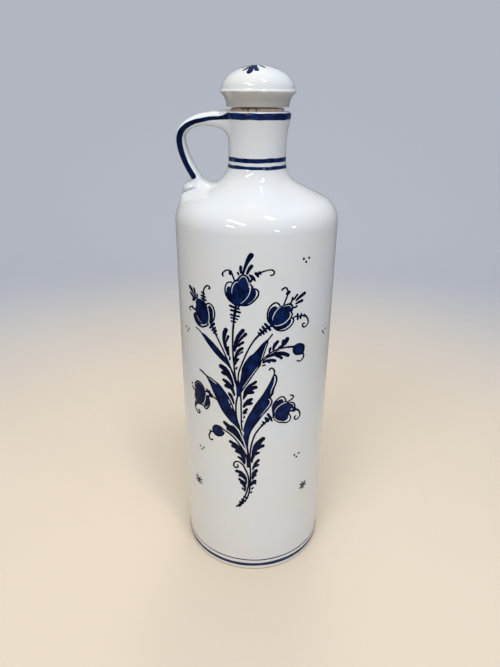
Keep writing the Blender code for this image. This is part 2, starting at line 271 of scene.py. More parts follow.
def pad_height(angle, wall_radius):
    """Height of the pad over the wall, which falls away to both sides of the handle."""
    aside = np.abs(np.asarray(angle) % (2 * HALF) - HALF) * wall_radius
    edge = np.clip((aside - PAD_HALF_WIDTH) / PAD_EDGE, 0, 1)
    return np.interp(wall_radius, PAD_PROFILE[:, 0], PAD_PROFILE[:, 1]) * (1 - eased(edge))


def raise_pad(angle, radius, height):
    """Lift the outside, but not the lining, where the handle's tail was pressed on."""
    on_outside = radius > np.interp(height, wall_line[::-1, 1], wall_line[::-1, 0]) - 1.0
    if not (SHOULDER_HEIGHT < height < fillet[1] and on_outside):
        return 0, 0
    lift = float(pad_height(angle, radius))
    lean = min(math.atan2(height - bend[1], radius - bend[0]), QUARTER - SHOULDER_SLOPE)
    lean = QUARTER - SHOULDER_SLOPE if radius < bend_top[0] else lean
    return lift * math.cos(lean), lift * math.sin(lean)


vessel = turn("vessel", lining + outside[1:] + under_foot, 256, vessel_glaze, ripple=raise_pad)
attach(vessel, "jug")
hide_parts("jug_body")

# THE STRAP HANDLE
# A pulled strap of the same clay, luted with slip to the rim and to the shoulder. Its top runs
# level with the rim, and its tail is pressed down with the thumb into a small roll.

STRAP_THICKNESS, STRAP_WIDTH = 4.7, 12.0
EDGE_POWER = 2.8                         # how square the section's edges are: 2 is an ellipse
FINGER_ROOM = 24.1                       # from the rim's edge to the strap's far side
# (share of the way along, share of the thickness, share of the width)
STRAP_SHARES = np.array([
    (0.00, 2.20, 1.04), (0.12, 1.95, 1.02), (0.20, 1.60, 1.00), (0.29, 1.27, 1.00), (0.42, 1.03, 1.00),
    (0.55, 0.98, 1.00), (0.80, 1.00, 1.00), (0.92, 1.20, 1.08), (1.00, 1.70, 1.30),
])
SLIP_RADIUS = 3.2                        # of the hollow that the slip leaves in the joints' corners
ROOT_DEPTH = 0.9                         # how far the strap reaches into the vessel's skin
ROLL_PLACE, ROLL_HALF, ROLL_BLEND = (-33.5, 0, 222.7), (5.2, 6.6, 3.0), 2.0
SIDES, STATIONS = 64, 220

# The strap's middle line as (x, z): from its root in the neck over the crest to its landing on the
# shoulder. Its places are shares of the height from the landing to the rim, as the photograph has them.
rim_top = bead[1] + BEAD_RADIUS
landing = cone_top_radius + (bend_top[0] - cone_top_radius) * 0.43
landing = np.array([-landing, cone_top[1] - (landing - cone_top_radius) * math.tan(SHOULDER_SLOPE)])
span = rim_top - landing[1]
root = np.array([-NECK_RADIUS * 0.5, rim_top - span * 0.20])
crest = np.array([-(bead[0] + BEAD_RADIUS + FINGER_ROOM - STRAP_THICKNESS / 2), landing[1] + span * 0.67])
leave_root = root + ((crest[0] - root[0]) * 0.56, span * 0.217)
land_pull = (crest - landing) * (0.35, 0.27)


def bezier(a, b, c, d, steps):
    """Points on a curve from a to d that is pulled toward b and then c."""
    t = np.linspace(0, 1, steps)[:, None]
    return a * (1 - t) ** 3 + 3 * b * t * (1 - t) ** 2 + 3 * c * t * t * (1 - t) + d * t ** 3


strap_line = np.concatenate([
    bezier(root, leave_root, crest + (0, span * 0.185), crest, 120),
    bezier(crest, crest - (0, span * 0.24), landing + land_pull, landing, 120)[1:],
    [landing - land_pull / np.linalg.norm(land_pull) * STRAP_THICKNESS],
])
strap_reach = np.concatenate([[0], np.cumsum(np.linalg.norm(np.diff(strap_line, axis=0), axis=1))])
strap_reach /= strap_reach[-1]
strap_run = np.gradient(strap_line, strap_reach, axis=0)


def eased_share(position, column):
    """Strap shares between the listed places, with no corners."""
    at = np.clip(np.searchsorted(STRAP_SHARES[:, 0], position) - 1, 0, len(STRAP_SHARES) - 2)
    low, high = STRAP_SHARES[at], STRAP_SHARES[at + 1]
    step = np.clip((position - low[..., 0]) / (high[..., 0] - low[..., 0]), 0, 1)
    return low[..., column] + (high[..., column] - low[..., column]) * eased(step)


def off_wall(points):
    """Distance of points from the vessel's outside, and the way out from it."""
    around = np.hypot(points[..., 0], points[..., 1])
    spot = np.stack([around, points[..., 2]], -1)[..., None, :]
    step = np.diff(wall_line, axis=0)
    share = np.clip(((spot - wall_line[:-1]) * step).sum(-1) / (step * step).sum(1), 0, 1)
    gap_all = spot - (wall_line[:-1] + share[..., None] * step)
    far = np.linalg.norm(gap_all, axis=-1)
    near = far.argmin(-1)
    normal = np.stack([-step[:, 1], step[:, 0]], 1) / np.linalg.norm(step, axis=1)[:, None]
    normal = normal[near]
    gap = np.take_along_axis(gap_all, near[..., None, None].repeat(2, -1), -2)[..., 0, :]
    distance = far.min(-1) * np.where((gap * normal).sum(-1) < 0, -1, 1)
    on_wall = np.take_along_axis(around[..., None] - gap_all[..., 0], near[..., None], -1)[..., 0]
    distance -= pad_height(np.arctan2(points[..., 1], points[..., 0]), on_wall)
    outward = normal[..., 0] / around
    way = np.stack([outward * points[..., 0], outward * points[..., 1], normal[..., 1]], -1)
    return distance, way


def signed_power(value, power):
    """A power of the value's size, with the value's own sign."""
    return np.sign(value) * np.abs(value) ** power


def strap_point(position, side):
    """A point on the plain strap and its outward normal. side 0 is outward, a quarter turn is +Y."""
    centre = np.stack([np.interp(position, strap_reach, strap_line[:, i]) for i in (0, 1)], -1)
    run = np.stack([np.interp(position, strap_reach, strap_run[:, i]) for i in (0, 1)], -1)
    run /= np.linalg.norm(run, axis=-1)[..., None]
    out = np.stack([run[..., 1], -run[..., 0]], -1)
    thick = STRAP_THICKNESS * eased_share(position, 1) / 2
    wide = STRAP_WIDTH * eased_share(position, 2) / 2
    across = signed_power(np.cos(side), 2 / EDGE_POWER)
    along = signed_power(np.sin(side), 2 / EDGE_POWER)
    lean = signed_power(across, EDGE_POWER - 1) / thick
    tilt = signed_power(along, EDGE_POWER - 1) / wide
    size = np.hypot(lean, tilt)
    spread = out * (across * thick)[..., None]
    point = np.stack([centre[..., 0] + spread[..., 0], along * wide, centre[..., 1] + spread[..., 1]], -1)
    normal = np.stack([out[..., 0] * lean / size, tilt / size, out[..., 1] * lean / size], -1)
    return point, normal


def add_slip(point, normal, radius):
    """Spread clay along the wall where it nears the vessel, as the slip worked into the joint does."""
    distance, way = off_wall(point)
    near = radius - np.clip(distance, 0, radius)
    spread = radius - np.sqrt(radius ** 2 - near ** 2)
    along = normal - way * (normal * way).sum(-1)[..., None]
    size = np.linalg.norm(along, axis=-1)
    spread = spread * np.clip((size - 0.15) / 0.5, 0, 1)      # none where the strap faces the wall
    grown = point + along * (spread / np.maximum(size, 0.01))[..., None]
    for _ in range(2):                                        # back to the distance it had from the curved wall
        moved, way = off_wall(grown)
        grown = grown - way * (moved - distance)[..., None]
    return grown


def cut_at_wall(sides, toward):
    """How far each line along the strap runs before it is ROOT_DEPTH under the vessel's skin."""
    positions = np.linspace(0.6, toward, 400)                 # from a place well clear of the vessel
    depth = off_wall(strap_point(positions[:, None], sides[None])[0])[0]
    rooted = depth < -ROOT_DEPTH
    first = np.where(rooted.any(0), rooted.argmax(0), len(positions) - 1)
    return positions[first]


sides = np.linspace(0, 2 * math.pi, SIDES, endpoint=False)
ends = cut_at_wall(sides, 0.0), cut_at_wall(sides, 1.0)
spacing = (0.5 - 0.5 * np.cos(np.linspace(0, math.pi, STATIONS)))[:, None]
positions = ends[0] + (ends[1] - ends[0]) * spacing
strap, strap_normal = strap_point(positions, sides[None].repeat(STATIONS, 0))

strap = add_slip(strap, strap_normal, SLIP_RADIUS)
for _ in range(3):                       # a wet sponge evens it out
    strap[1:-1] = (strap[:-2] + strap[2:] + 2 * strap[1:-1]) / 4

# the thumb pushed the tail's end down into a roll: the outside swells out along the shoulder
down_slope = np.array((-math.cos(SHOULDER_SLOPE), 0, -math.sin(SHOULDER_SLOPE)))
off_slope = np.array((-math.sin(SHOULDER_SLOPE), 0, math.cos(SHOULDER_SLOPE)))
from_roll = strap - ROLL_PLACE
reach = from_roll @ down_slope
full = 1 - (from_roll @ off_slope / ROLL_HALF[2]) ** 2 - (strap[..., 1] / ROLL_HALF[1]) ** 2
swollen = ROLL_HALF[0] * signed_power(full, 0.5)
meeting = np.maximum(ROLL_BLEND - np.abs(swollen - reach), 0) / ROLL_BLEND
swollen = np.maximum(swollen, reach) + meeting ** 2 * ROLL_BLEND / 4
facing_out = eased(np.clip(np.cos(sides) / 0.35, 0, 1))
strap[1:-1] += (down_slope * ((swollen - reach) * facing_out)[..., None])[1:-1]

shape = bmesh.new()
rings = [[shape.verts.new(Vector(p) * MM) for p in ring] for ring in strap]
caps = [[shape.verts.new(Vector(ring.mean(0)) * MM)] * SIDES for ring in (strap[0], strap[-1])]
join_rings(shape, [caps[0], *rings, caps[1]])
handle = show("strap_handle", shape, tin_glaze("tin glaze on the handle", "#E1E0DB", "#DEE0E0"))
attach(handle, "jug")
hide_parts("handle")

# THE STOPPER HEAD
# A cast head of the same glazed clay: low dome, sharp lip, hollow cove and a flat underside that
# runs down into a stem. It is hollow, and a fine vent down the stem lets its air out in the kiln.

CORK_SHOWS, CORK_DEPTH = 1.9, 20.0       # above and below the rim
UNDERSIDE = rim_top + CORK_SHOWS
cork_bottom = UNDERSIDE - CORK_SHOWS - CORK_DEPTH
BASE_RADIUS, BASE_ROUND = bead[0] + BEAD_RADIUS - 1.05, 0.5
STEM_RADIUS, VENT_RADIUS, HEAD_WALL = 6.47, 1.2, 4.2
LIP_RADIUS, LIP_LOW, LIP_ROUND = 18.5, 266.65, 0.3
DOME_RADIUS, DOME_RISE, DOME_FOOT = 17.85, 11.1, 267.25

cove_height = LIP_LOW - UNDERSIDE - BASE_ROUND
cove_turn = 2 * math.atan((LIP_RADIUS - 0.1 - BASE_RADIUS) / cove_height)
cove_radius = cove_height / math.sin(cove_turn)
cove = (BASE_RADIUS + cove_radius, UNDERSIDE + BASE_ROUND)
lip = (LIP_RADIUS - LIP_ROUND, LIP_LOW + LIP_ROUND)
cavity_floor = UNDERSIDE + HEAD_WALL
head_outline = [(0.0, DOME_FOOT + DOME_RISE)]
head_outline += arc((0, DOME_FOOT), DOME_RADIUS, QUARTER, math.radians(7), 32, up=DOME_RISE)[1:]
head_outline += [(DOME_RADIUS + out, DOME_FOOT + rise) for out, rise in ((0, 0.85), (0.1, 0.5), (0.28, 0.2))]
head_outline += arc(lip, LIP_ROUND, math.radians(60), -QUARTER / 2, 6)
head_outline += arc(cove, cove_radius, HALF - cove_turn, HALF, 14)[1:]
head_outline += arc((BASE_RADIUS - BASE_ROUND, UNDERSIDE + BASE_ROUND), BASE_ROUND, 0, -QUARTER, 5)[1:]
head_outline += [(STEM_RADIUS, UNDERSIDE), (STEM_RADIUS, cork_bottom), (VENT_RADIUS, cork_bottom)]
head_outline += [(VENT_RADIUS, cavity_floor), (BASE_RADIUS - HEAD_WALL, cavity_floor)]
head_outline += arc((0, DOME_FOOT), DOME_RADIUS - HEAD_WALL, 0, QUARTER, 12, up=DOME_RISE - HEAD_WALL)[:-1]
head_outline += [(0.0, DOME_FOOT + DOME_RISE - HEAD_WALL)]
# the grey-brown film in the cove under the lip is partly real staining and partly painted shade
head_glaze = tin_glaze("tin glaze on the stopper", "#E1DFD9", "#DEDFDE", film_and_shade=(UNDERSIDE, LIP_LOW))
head = turn("stopper_dome", head_outline, 128, head_glaze)
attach(head, "stopper")
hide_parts("stopper_head")

# THE CORK
# A tapered sleeve of natural cork, turned to the neck's bore and glued on the stem. Its top edge,
# which shows under the stopper, is crumbled from years of pulling, and the bark's pores are dark.

CORK_GAP = 0.3                           # round the stem, under the head and to the neck's bore
cork_top = UNDERSIDE - CORK_GAP


def cork_radius(height):
    """Radius of the cork where it fits the neck's tapered bore."""
    return bore[0] + (height - bore[1]) * math.tan(bore_lean) - CORK_GAP / math.cos(bore_lean)


def crumbled(angle, radius, height):
    """Small losses at the top edge, larger at a few places around."""
    top = height > UNDERSIDE - 1.4 and radius > 9
    loss = abs(math.sin(7 * angle + 0.6) * math.sin(3 * angle + 1.1)) ** 2 + 0.4 * abs(math.sin(17 * angle))
    return (-0.30 * loss, -0.40 * loss) if top else (-0.03 * abs(math.sin(23 * angle)), 0)


cork_outline = [(STEM_RADIUS + CORK_GAP, cork_top), (10.5, cork_top)]
cork_outline += [(cork_radius(cork_top) - 0.5, UNDERSIDE - 0.35)]
cork_outline += [(cork_radius(UNDERSIDE - 0.8), UNDERSIDE - 0.75)]
cork_outline += [(cork_radius(z), z) for z in np.linspace(UNDERSIDE - 1.5, cork_bottom + 0.6, 14)]
cork_outline += [(cork_radius(cork_bottom) - 0.6, cork_bottom), (STEM_RADIUS + CORK_GAP, cork_bottom)]

# Natural cork, turned and sanded: matt, fine-grained, tan with growth bands and dark pores.
cork_bark = bpy.data.materials.new("natural cork")
cork_bark.use_nodes = True
tree = cork_bark.node_tree
place = add_node(tree, "ShaderNodeTexCoord").outputs["Object"]
grain = add_node(tree, "ShaderNodeTexNoise", {"Vector": place, "Scale": 700, "Detail": 5.0, "Roughness": 0.65})
stretched = add_node(tree, "ShaderNodeMapping", {"Vector": place, "Scale": (1.0, 1.0, 0.35)})
pores = add_node(tree, "ShaderNodeTexVoronoi", {"Vector": stretched.outputs[0], "Scale": 420})
pores = add_node(tree, "ShaderNodeMapRange", {
    "Value": pores.outputs["Distance"], "From Min": 0.12, "From Max": 0.30, "To Min": 1.0, "To Max": 0.0})
tan = add_node(tree, "ShaderNodeMix", {
    "Factor": grain.outputs["Fac"], "A": linear("#DCC2A2"), "B": linear("#F6E8D6")}, data_type="RGBA")
tan = add_node(tree, "ShaderNodeMix", {
    "Factor": pores.outputs["Result"], "A": tan.outputs["Result"], "B": linear("#8A6A4C")}, data_type="RGBA")
rough_cork = add_node(tree, "ShaderNodeBump", {"Height": grain.outputs["Fac"], "Strength": 0.7, "Distance": 0.0003})
shader = tree.nodes["Principled BSDF"]
tree.links.new(tan.outputs["Result"], shader.inputs["Base Color"])
tree.links.new(rough_cork.outputs["Normal"], shader.inputs["Normal"])
shader.inputs["Roughness"].default_value = 0.88

cork = turn("cork_sleeve", cork_outline, 128, cork_bark, ripple=crumbled)
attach(cork, "stopper")
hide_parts("stopper_cork")

# THE BANDS
# Cobalt bands laid on with a full brush while the jug turns on the wheel: one round the rim, two
# round the foot of the neck and two at the base. Their edges run slightly uneven.


# Cobalt under the glaze: a blue-black where the brush ran full, blue where it ran thin, and as
# smooth as the glaze around it. streak is the width of the brush's hair marks in mm, turned is
# their lean from upright, and sheen is how much of the glaze's mirror shows over the dark.
def cobalt(name, deep, thin, streak, turned=0.0, sheen=0.5):
    material = bpy.data.materials.new(name)
    material.use_nodes = True
    tree = material.node_tree
    shader = tree.nodes["Principled BSDF"]
    place = add_node(tree, "ShaderNodeTexCoord").outputs["Object"]
    laid = add_node(tree, "ShaderNodeMapping", {
        "Vector": place, "Rotation": (0, turned, 0), "Scale": (1.0, 1.0, 0.3)})
    hairs = add_node(tree, "ShaderNodeTexNoise", {
        "Vector": laid.outputs[0], "Scale": 1000 / streak, "Detail": 4.0, "Roughness": 0.6})
    pool = add_node(tree, "ShaderNodeTexNoise", {"Vector": place, "Scale": 220, "Detail": 1.0})
    load = add_node(tree, "ShaderNodeMath", {0: hairs.outputs["Fac"], 1: pool.outputs["Fac"]}, operation="ADD")
    load = add_node(tree, "ShaderNodeMapRange", {"Value": load.outputs[0], "From Min": 0.75, "From Max": 1.3})
    tone = add_node(tree, "ShaderNodeMix", {
        "Factor": load.outputs["Result"], "A": linear(deep), "B": linear(thin)}, data_type="RGBA")
    tree.links.new(tone.outputs["Result"], shader.inputs["Base Color"])
    waves = add_node(tree, "ShaderNodeTexNoise", {"Vector": place, "Scale": 110, "Detail": 1.0})
    waves = add_node(tree, "ShaderNodeBump", {"Height": waves.outputs["Fac"], "Strength": 0.5, "Distance": 0.00006})
    tree.links.new(waves.outputs["Normal"], shader.inputs["Normal"])
    shader.inputs["Roughness"].default_value = 0.1
    shader.inputs["IOR"].default_value = 1.45
    shader.inputs["Specular IOR Level"].default_value = sheen
    return material


PAINT_DEPTH = 0.15                       # how far the paint's underside lies beneath the skin


def wall_at(height, lift):
    """Radius and height of the vessel's outside, lifted off it."""
    below, radius, above = np.interp((height - 0.2, height, height + 0.2), wall_line[::-1, 1], wall_line[::-1, 0])
    slope = (above - below) / 0.4
    size = math.hypot(1, slope)
    return radius + lift / size, height - lift * slope / size


def lay_band(shape, low, high, seed):
    """A closed ring of paint between two heights, with edges that waver as a brush does."""
    rng = random.Random(seed)
    waver = [[(rng.uniform(0.02, 0.06), n, rng.uniform(0, 6.3)) for n in (2, 3, 5, 9, 14)] for _ in range(2)]
    steps = 240
    loops = []
    for i in range(steps):
        angle = 2 * math.pi * i / steps
        shift = [sum(size * math.sin(n * angle + start) for size, n, start in edge) for edge in waver]
        bottom, top = low + shift[0], high + shift[1]
        rows = [bottom + (top - bottom) * share for share in (0, 0.1, 0.35, 0.65, 0.9, 1)]
        loop = [wall_at(row, lift) for row, lift in zip(rows, (0.03, 0.06, 0.06, 0.06, 0.06, 0.03))]
        loop += [wall_at(top, -PAINT_DEPTH), wall_at(bottom, -PAINT_DEPTH)]
        toward = Vector((math.cos(angle), math.sin(angle), 0))
        loops.append([shape.verts.new(toward * r * MM + Vector((0, 0, z * MM))) for r, z in loop])
    join_rings(shape, [loops[-1], *loops])


BANDS = ((3.0, 5.3), (7.35, 8.15), (232.2, 233.8), (235.35, 237.45), (254.65, 257.6))
shape = bmesh.new()
for seed, (low, high) in enumerate(BANDS):
    lay_band(shape, low, high, seed)
band_cobalt = cobalt("cobalt bands under glaze", "#040C34", "#0E2C60", streak=3.0, sheen=0.4)
bands = show("cobalt_bands", shape, band_cobalt)

# The handle's stripe: one long stroke down each side, from the rim's band to above the roll. Its
# places are (x, height, width) in mm.
STRIPE = np.array([
    (-12.6, 255.5, 2.9), (-14.6, 255.5, 2.4), (-16.9, 255.4, 1.8), (-18.6, 255.2, 1.6), (-20.8, 255.1, 1.7),
    (-23.1, 255.0, 1.75), (-27.4, 254.1, 1.9), (-30.2, 253.6, 2.0), (-32.4, 252.7, 2.15), (-34.4, 251.7, 2.35),
    (-36.0, 250.5, 2.5), (-37.6, 248.4, 2.7), (-38.3, 245.6, 2.8), (-38.0, 242.0, 2.8), (-36.8, 237.5, 2.8),
    (-35.2, 233.3, 2.9), (-33.4, 230.0, 3.0), (-31.3, 226.7, 3.0),
])


def lay_stripe(shape, mirror):
    """A closed strip on one side of the strap, where the stripe's places fall on the strap's own line."""
    stations, across = 140, 9
    gone = np.concatenate([[0], np.cumsum(np.linalg.norm(np.diff(STRIPE[:, :2], axis=0), axis=1))])
    at = np.linspace(0, gone[-1], stations)
    path = np.stack([np.interp(at, gone, STRIPE[:, i]) for i in range(3)], -1)
    for _ in range(12):
        path[1:-1] = (path[:-2] + path[2:] + 2 * path[1:-1]) / 4
    away = path[:, None, :2] - strap_line[:-1][None]
    nearest = np.linalg.norm(away, axis=-1).argmin(1)
    position = strap_reach[nearest]
    run = strap_run[nearest] / np.linalg.norm(strap_run[nearest], axis=1)[:, None]
    away = away[np.arange(stations), nearest]
    offset = away[:, 0] * run[:, 1] - away[:, 1] * run[:, 0]
    width = path[:, 2]
    for end in (at[0], at[-1]):
        from_end = np.abs(at - end)
        width = width * np.sqrt(np.clip(1 - np.clip(1 - from_end / 1.3, 0, 1) ** 2, 0.02, 1))
    place = offset[:, None] + width[:, None] / 2 * np.linspace(-1, 1, across)
    thick = STRAP_THICKNESS * eased_share(position, 1)[:, None] / 2
    share = np.clip(place / thick, -0.98, 0.98)
    side = np.arccos(signed_power(share, EDGE_POWER / 2)) * mirror
    along = position[:, None].repeat(across, 1)
    point, normal = strap_point(along, side)
    point = add_slip(point, normal, SLIP_RADIUS)
    top = [[shape.verts.new(Vector(p) * MM) for p in row] for row in point + normal * 0.07]
    under = [[shape.verts.new(Vector(p) * MM) for p in row] for row in point - normal * PAINT_DEPTH]
    for i in range(stations - 1):
        for j in range(across - 1):
            shape.faces.new((top[i][j], top[i][j + 1], top[i + 1][j + 1], top[i + 1][j]))
            shape.faces.new((under[i][j], under[i + 1][j], under[i + 1][j + 1], under[i][j + 1]))
        for j in (0, -1):
            shape.faces.new((top[i][j], top[i + 1][j], under[i + 1][j], under[i][j]))
    for i in (0, -1):
        for j in range(across - 1):
            shape.faces.new((top[i][j], top[i][j + 1], under[i][j + 1], under[i][j]))


shape = bmesh.new()
lay_stripe(shape, 1)
lay_stripe(shape, -1)
stripe_cobalt = cobalt("cobalt stripe under glaze", "#030824", "#081C44", streak=2.0, sheen=0.25)
stripe = show("handle_stripes", shape, stripe_cobalt)
for paint, slot in ((bands, "body_glaze"), (stripe, "handle_glaze")):
    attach(paint, "jug")

# THE PAINTED SPRAY
# A traditional flower spray, painted freehand with cobalt on the raw glaze. Each mark is one
# press of a pointed brush, so each is drawn here as the brush's path and its width along it.
# Places are mm on the unrolled front: to the right of the middle line, then up from the foot.

washes, floods, marks, gaps = [], [], [], []


def press(*path):
    """A pressed stroke: (right, up, width) at each place the brush passes."""
    marks.append(path)


def trace(width, *path):
    """A stroke of one width."""
    marks.append([(right, up, width) for right, up in path])


def wash(*path):
    """A broad stroke of thinner cobalt."""
    washes.append(path)


def flood(*path):
    """A broad stroke of thick cobalt."""
    floods.append(path)


def bare(*path):
    """A thin line of glaze that the brush left bare between two strokes."""
    gaps.append(path)


# the tall flower, upper left of the middle
wash((-5.6, 185.9, 3.3), (-5.9, 184.9, 4.9), (-6.7, 183.3, 7.4), (-7.0, 181.5, 8.8), (-7.3, 179.5, 8.8),
     (-7.9, 177.5, 8.2), (-8.6, 175.6, 6.0), (-9.2, 174.0, 3.6))
flood((-13.0, 181.3, 1.4), (-12.9, 180, 2.3), (-12.7, 178.3, 3.0), (-12, 176.5, 3.6), (-10.9, 175, 2.8),
      (-9.7, 173.5, 1.4))
flood((-1.8, 182.6, 0.5), (-1.6, 181.4, 0.9), (-1.0, 180.2, 1.9), (-1.3, 178.7, 2.6), (-2.3, 177, 2.7),
      (-3.9, 175.3, 2.3), (-5.4, 174.1, 1.7), (-6.8, 173.4, 1.0))
bare((-8.4, 184.7, 0.25), (-9.6, 184.2, 0.4), (-10.6, 183.1, 0.4), (-11.2, 181.6, 0.4), (-11.5, 180, 0.35),
     (-11.5, 178.4, 0.2))
bare((-3.6, 184.2, 0.35), (-2.9, 183.1, 0.45), (-2.6, 181.8, 0.5), (-2.7, 180.2, 0.45), (-3.2, 178.5, 0.4),
     (-4.2, 176.7, 0.32), (-5.6, 175.1, 0.3), (-7.1, 173.8, 0.25))
bare((-7.8, 185.5, 0.2), (-7.3, 186.5, 0.28), (-6.5, 187.2, 0.3), (-5.5, 187.4, 0.3), (-4.6, 186.8, 0.3),
     (-4.0, 185.8, 0.35), (-3.8, 184.7, 0.35))
trace(0.35, (-10.8, 184), (-11.6, 182.8), (-12, 181.2), (-12.1, 179.6))
trace(0.7, (-10, 184.9), (-8.6, 185.8), (-7.8, 187), (-6.7, 187.9), (-5.6, 188.1), (-4.4, 187.7), (-3.4, 186.6),
      (-2.9, 185.3), (-2.3, 184.6))
trace(0.6, (-10.9, 183.2), (-11.3, 184), (-12.4, 184.2), (-13.8, 183.6), (-14.7, 182), (-15, 180), (-14.7, 178),
      (-13.8, 176.2), (-12.3, 174.6), (-10.6, 173.4), (-9.3, 172.6))
trace(0.7, (-3.1, 183.8), (-2.2, 183.3), (-1.5, 182.4), (-1.3, 181.4), (-0.4, 181.5), (0.6, 181.1),
      (1.3, 180.2), (1.4, 178.8), (0.9, 177.5), (-0.2, 176), (-1.6, 174.6), (-3.3, 173.4), (-5, 172.9),
      (-6.6, 172.9), (-7.7, 172.8), (-8.3, 171.6))
press((-6, 188.6, 0.8), (-5.3, 191.3, 1.1), (-4.3, 194, 1.5), (-3.2, 196.3, 2.0), (-2.1, 197.9, 2.3))
press((-4.1, 188.8, 1.0), (-3.5, 190.3, 1.3), (-2.7, 191.7, 1.5), (-1.9, 192.7, 1.6))
press((-6.6, 189, 0.9), (-7.1, 190.2, 1.2), (-7.1, 192.2, 1.2))
press((-8.0, 188.1, 0.7), (-8.6, 189.2, 0.9))
trace(0.7, (-10.2, 185), (-10.6, 186.4), (-11.2, 188), (-11.7, 189.4))
press((-12.2, 188.2, 1.3), (-12.1, 189.4, 1.6))
press((-12.6, 189.9, 0.6), (-14, 189.9, 0.6), (-15.2, 189.2, 0.6), (-16.1, 188.2, 0.7), (-16.1, 187.3, 0.8),
      (-15.7, 186.8, 0.6))
press((-3, 188.2, 0.8), (-1.5, 187.2, 1.5), (-0.2, 185.4, 0.5))
press((-1.4, 186.9, 1.2), (-2.3, 185.0, 0.7))
press((-0.4, 189.2, 0.8), (0.5, 188.8, 1.5), (1.2, 187.3, 0.6))
press((1.5, 190, 0.6), (1.9, 189.4, 1.2), (2.4, 188.8, 0.6))
press((0.6, 188.9, 0.8), (2.3, 189.6, 0.7), (4, 190.2, 0.6), (6, 190.7, 0.5), (7.5, 190.7, 0.6),
      (8.6, 190, 0.7), (8.7, 189, 0.7), (8, 188.2, 0.6), (6.9, 188.1, 0.6))
press((-12.7, 172.3, 0.9), (-10.6, 171.6, 1.1), (-7.8, 170.8, 0.8))
press((-12.2, 170, 0.9), (-10, 169.6, 1.0), (-7.3, 169.1, 0.9))
press((-12.2, 167.6, 1.0), (-10, 167.2, 0.8), (-7.9, 167.1, 0.9))
press((-12, 166, 0.9), (-10, 165.7, 0.7), (-8.7, 165.4, 0.8))
press((-11.9, 164.2, 0.8), (-9.6, 163.8, 0.7))
press((-9.4, 173, 0.7), (-9.8, 170, 1.3), (-10.3, 167, 1.1), (-10.6, 164, 0.9), (-11, 160, 0.9),
      (-11.2, 155, 0.8), (-11.2, 150, 0.8), (-11, 145, 0.8), (-10.6, 140, 0.8), (-10.2, 135, 0.8),
      (-9.6, 131, 0.9), (-9.0, 127.5, 1.0))

# the left flower, its feathers and its stem
flood((-31.2, 170.8, 3.0), (-30.0, 169, 7.6), (-29.2, 166.5, 8.8), (-28.5, 164, 8.2), (-27.8, 162, 6.4),
      (-27.1, 160.6, 4.0))
flood((-24.2, 169.6, 1.2), (-23.4, 168.2, 2.1), (-23.1, 165.6, 2.1), (-23.3, 163.2, 1.9), (-23.9, 161.4, 1.3))
flood((-34.2, 163.2, 1.5), (-34.0, 161.8, 2.4), (-32.9, 160.3, 3.0), (-31.4, 159.2, 2.6), (-29.9, 158.9, 1.4))
bare((-25.4, 169.9, 0.2), (-24.9, 168.4, 0.35), (-24.5, 166.2, 0.4), (-24.3, 163.8, 0.4), (-24.6, 161.9, 0.4),
     (-25.2, 160.7, 0.25))
bare((-33.1, 163.2, 0.12), (-32.2, 161.7, 0.22), (-30.8, 160.5, 0.22), (-29.4, 159.7, 0.12))
bare((-30.4, 158.6, 0.2), (-28.8, 158.7, 0.4), (-27.1, 159.2, 0.45), (-25.7, 160.1, 0.35))
bare((-35.4, 176.3, 0.25), (-34.8, 174.6, 0.25), (-34.2, 172.8, 0.12))
bare((-37.2, 174.8, 0.3), (-35.9, 173.5, 0.22), (-34.9, 172.3, 0.12))
bare((-33.1, 175.1, 0.3), (-32.9, 173.4, 0.25), (-32.8, 172.2, 0.12))
trace(0.7, (-25.9, 170.4), (-24.9, 171.2), (-23.4, 171.2), (-21.9, 170.1), (-21.1, 168.2), (-20.9, 166),
      (-21.4, 163.7), (-22.4, 161.9), (-23.6, 160.8))
trace(0.8, (-34, 163.8), (-35.2, 162.6), (-35, 161), (-34, 159.3), (-32.2, 158), (-30, 157.4), (-28, 157.9),
      (-26.3, 158.8), (-24.9, 160))
trace(0.7, (-33.2, 169.4), (-32.6, 170.9), (-31, 171.7), (-29.6, 171))
press((-33.9, 171.4, 1.3), (-35.3, 173.9, 1.5), (-36.8, 176, 1.7), (-38.2, 176.9, 1.8))
press((-34.2, 171, 1.3), (-36, 172.6, 1.4), (-37.9, 173.8, 1.0))
press((-33.1, 172.2, 1.4), (-33.8, 174.8, 1.4), (-34.6, 176.9, 1.1))
press((-32.3, 172.4, 1.0), (-32.1, 174.3, 1.0))
press((-34.7, 171, 1.0), (-35.8, 170.4, 1.5))
press((-29.1, 173, 0.9), (-27.5, 172.8, 1.0), (-25.8, 172.5, 0.7))
press((-29.2, 174.5, 0.9), (-27.6, 174.3, 1.0), (-26.3, 174.1, 0.7))
press((-29, 176.2, 0.7), (-27.7, 176, 0.8), (-26.8, 175.6, 0.7))
press((-27.4, 170.9, 0.7), (-27.6, 174, 0.8), (-27.6, 176.6, 0.8), (-27, 178.5, 0.7), (-26, 179.8, 0.7),
      (-24.8, 180.5, 0.6), (-23.7, 180.1, 0.7), (-23.5, 179.3, 0.7), (-24.3, 179, 0.6))
press((-33.2, 165.3, 0.8), (-35, 165.7, 0.8), (-36.4, 166.3, 1.3), (-36.4, 167, 0.7))
press((-36.8, 166.4, 0.8), (-38.3, 165.9, 0.7), (-39.6, 164.6, 0.7))
press((-38.8, 163.9, 0.7), (-38.2, 164.3, 0.6))
press((-21.2, 161.3, 1.1), (-22.6, 159.8, 1.3), (-24.1, 158.2, 0.8))
press((-20.7, 159.2, 0.9), (-21.6, 158.2, 1.2), (-22.8, 157.2, 0.8))
press((-20.2, 157.9, 0.7), (-20.8, 156.8, 1.1), (-21.9, 155.9, 0.8))
press((-19.6, 155.9, 0.5), (-20.5, 155.1, 0.8))
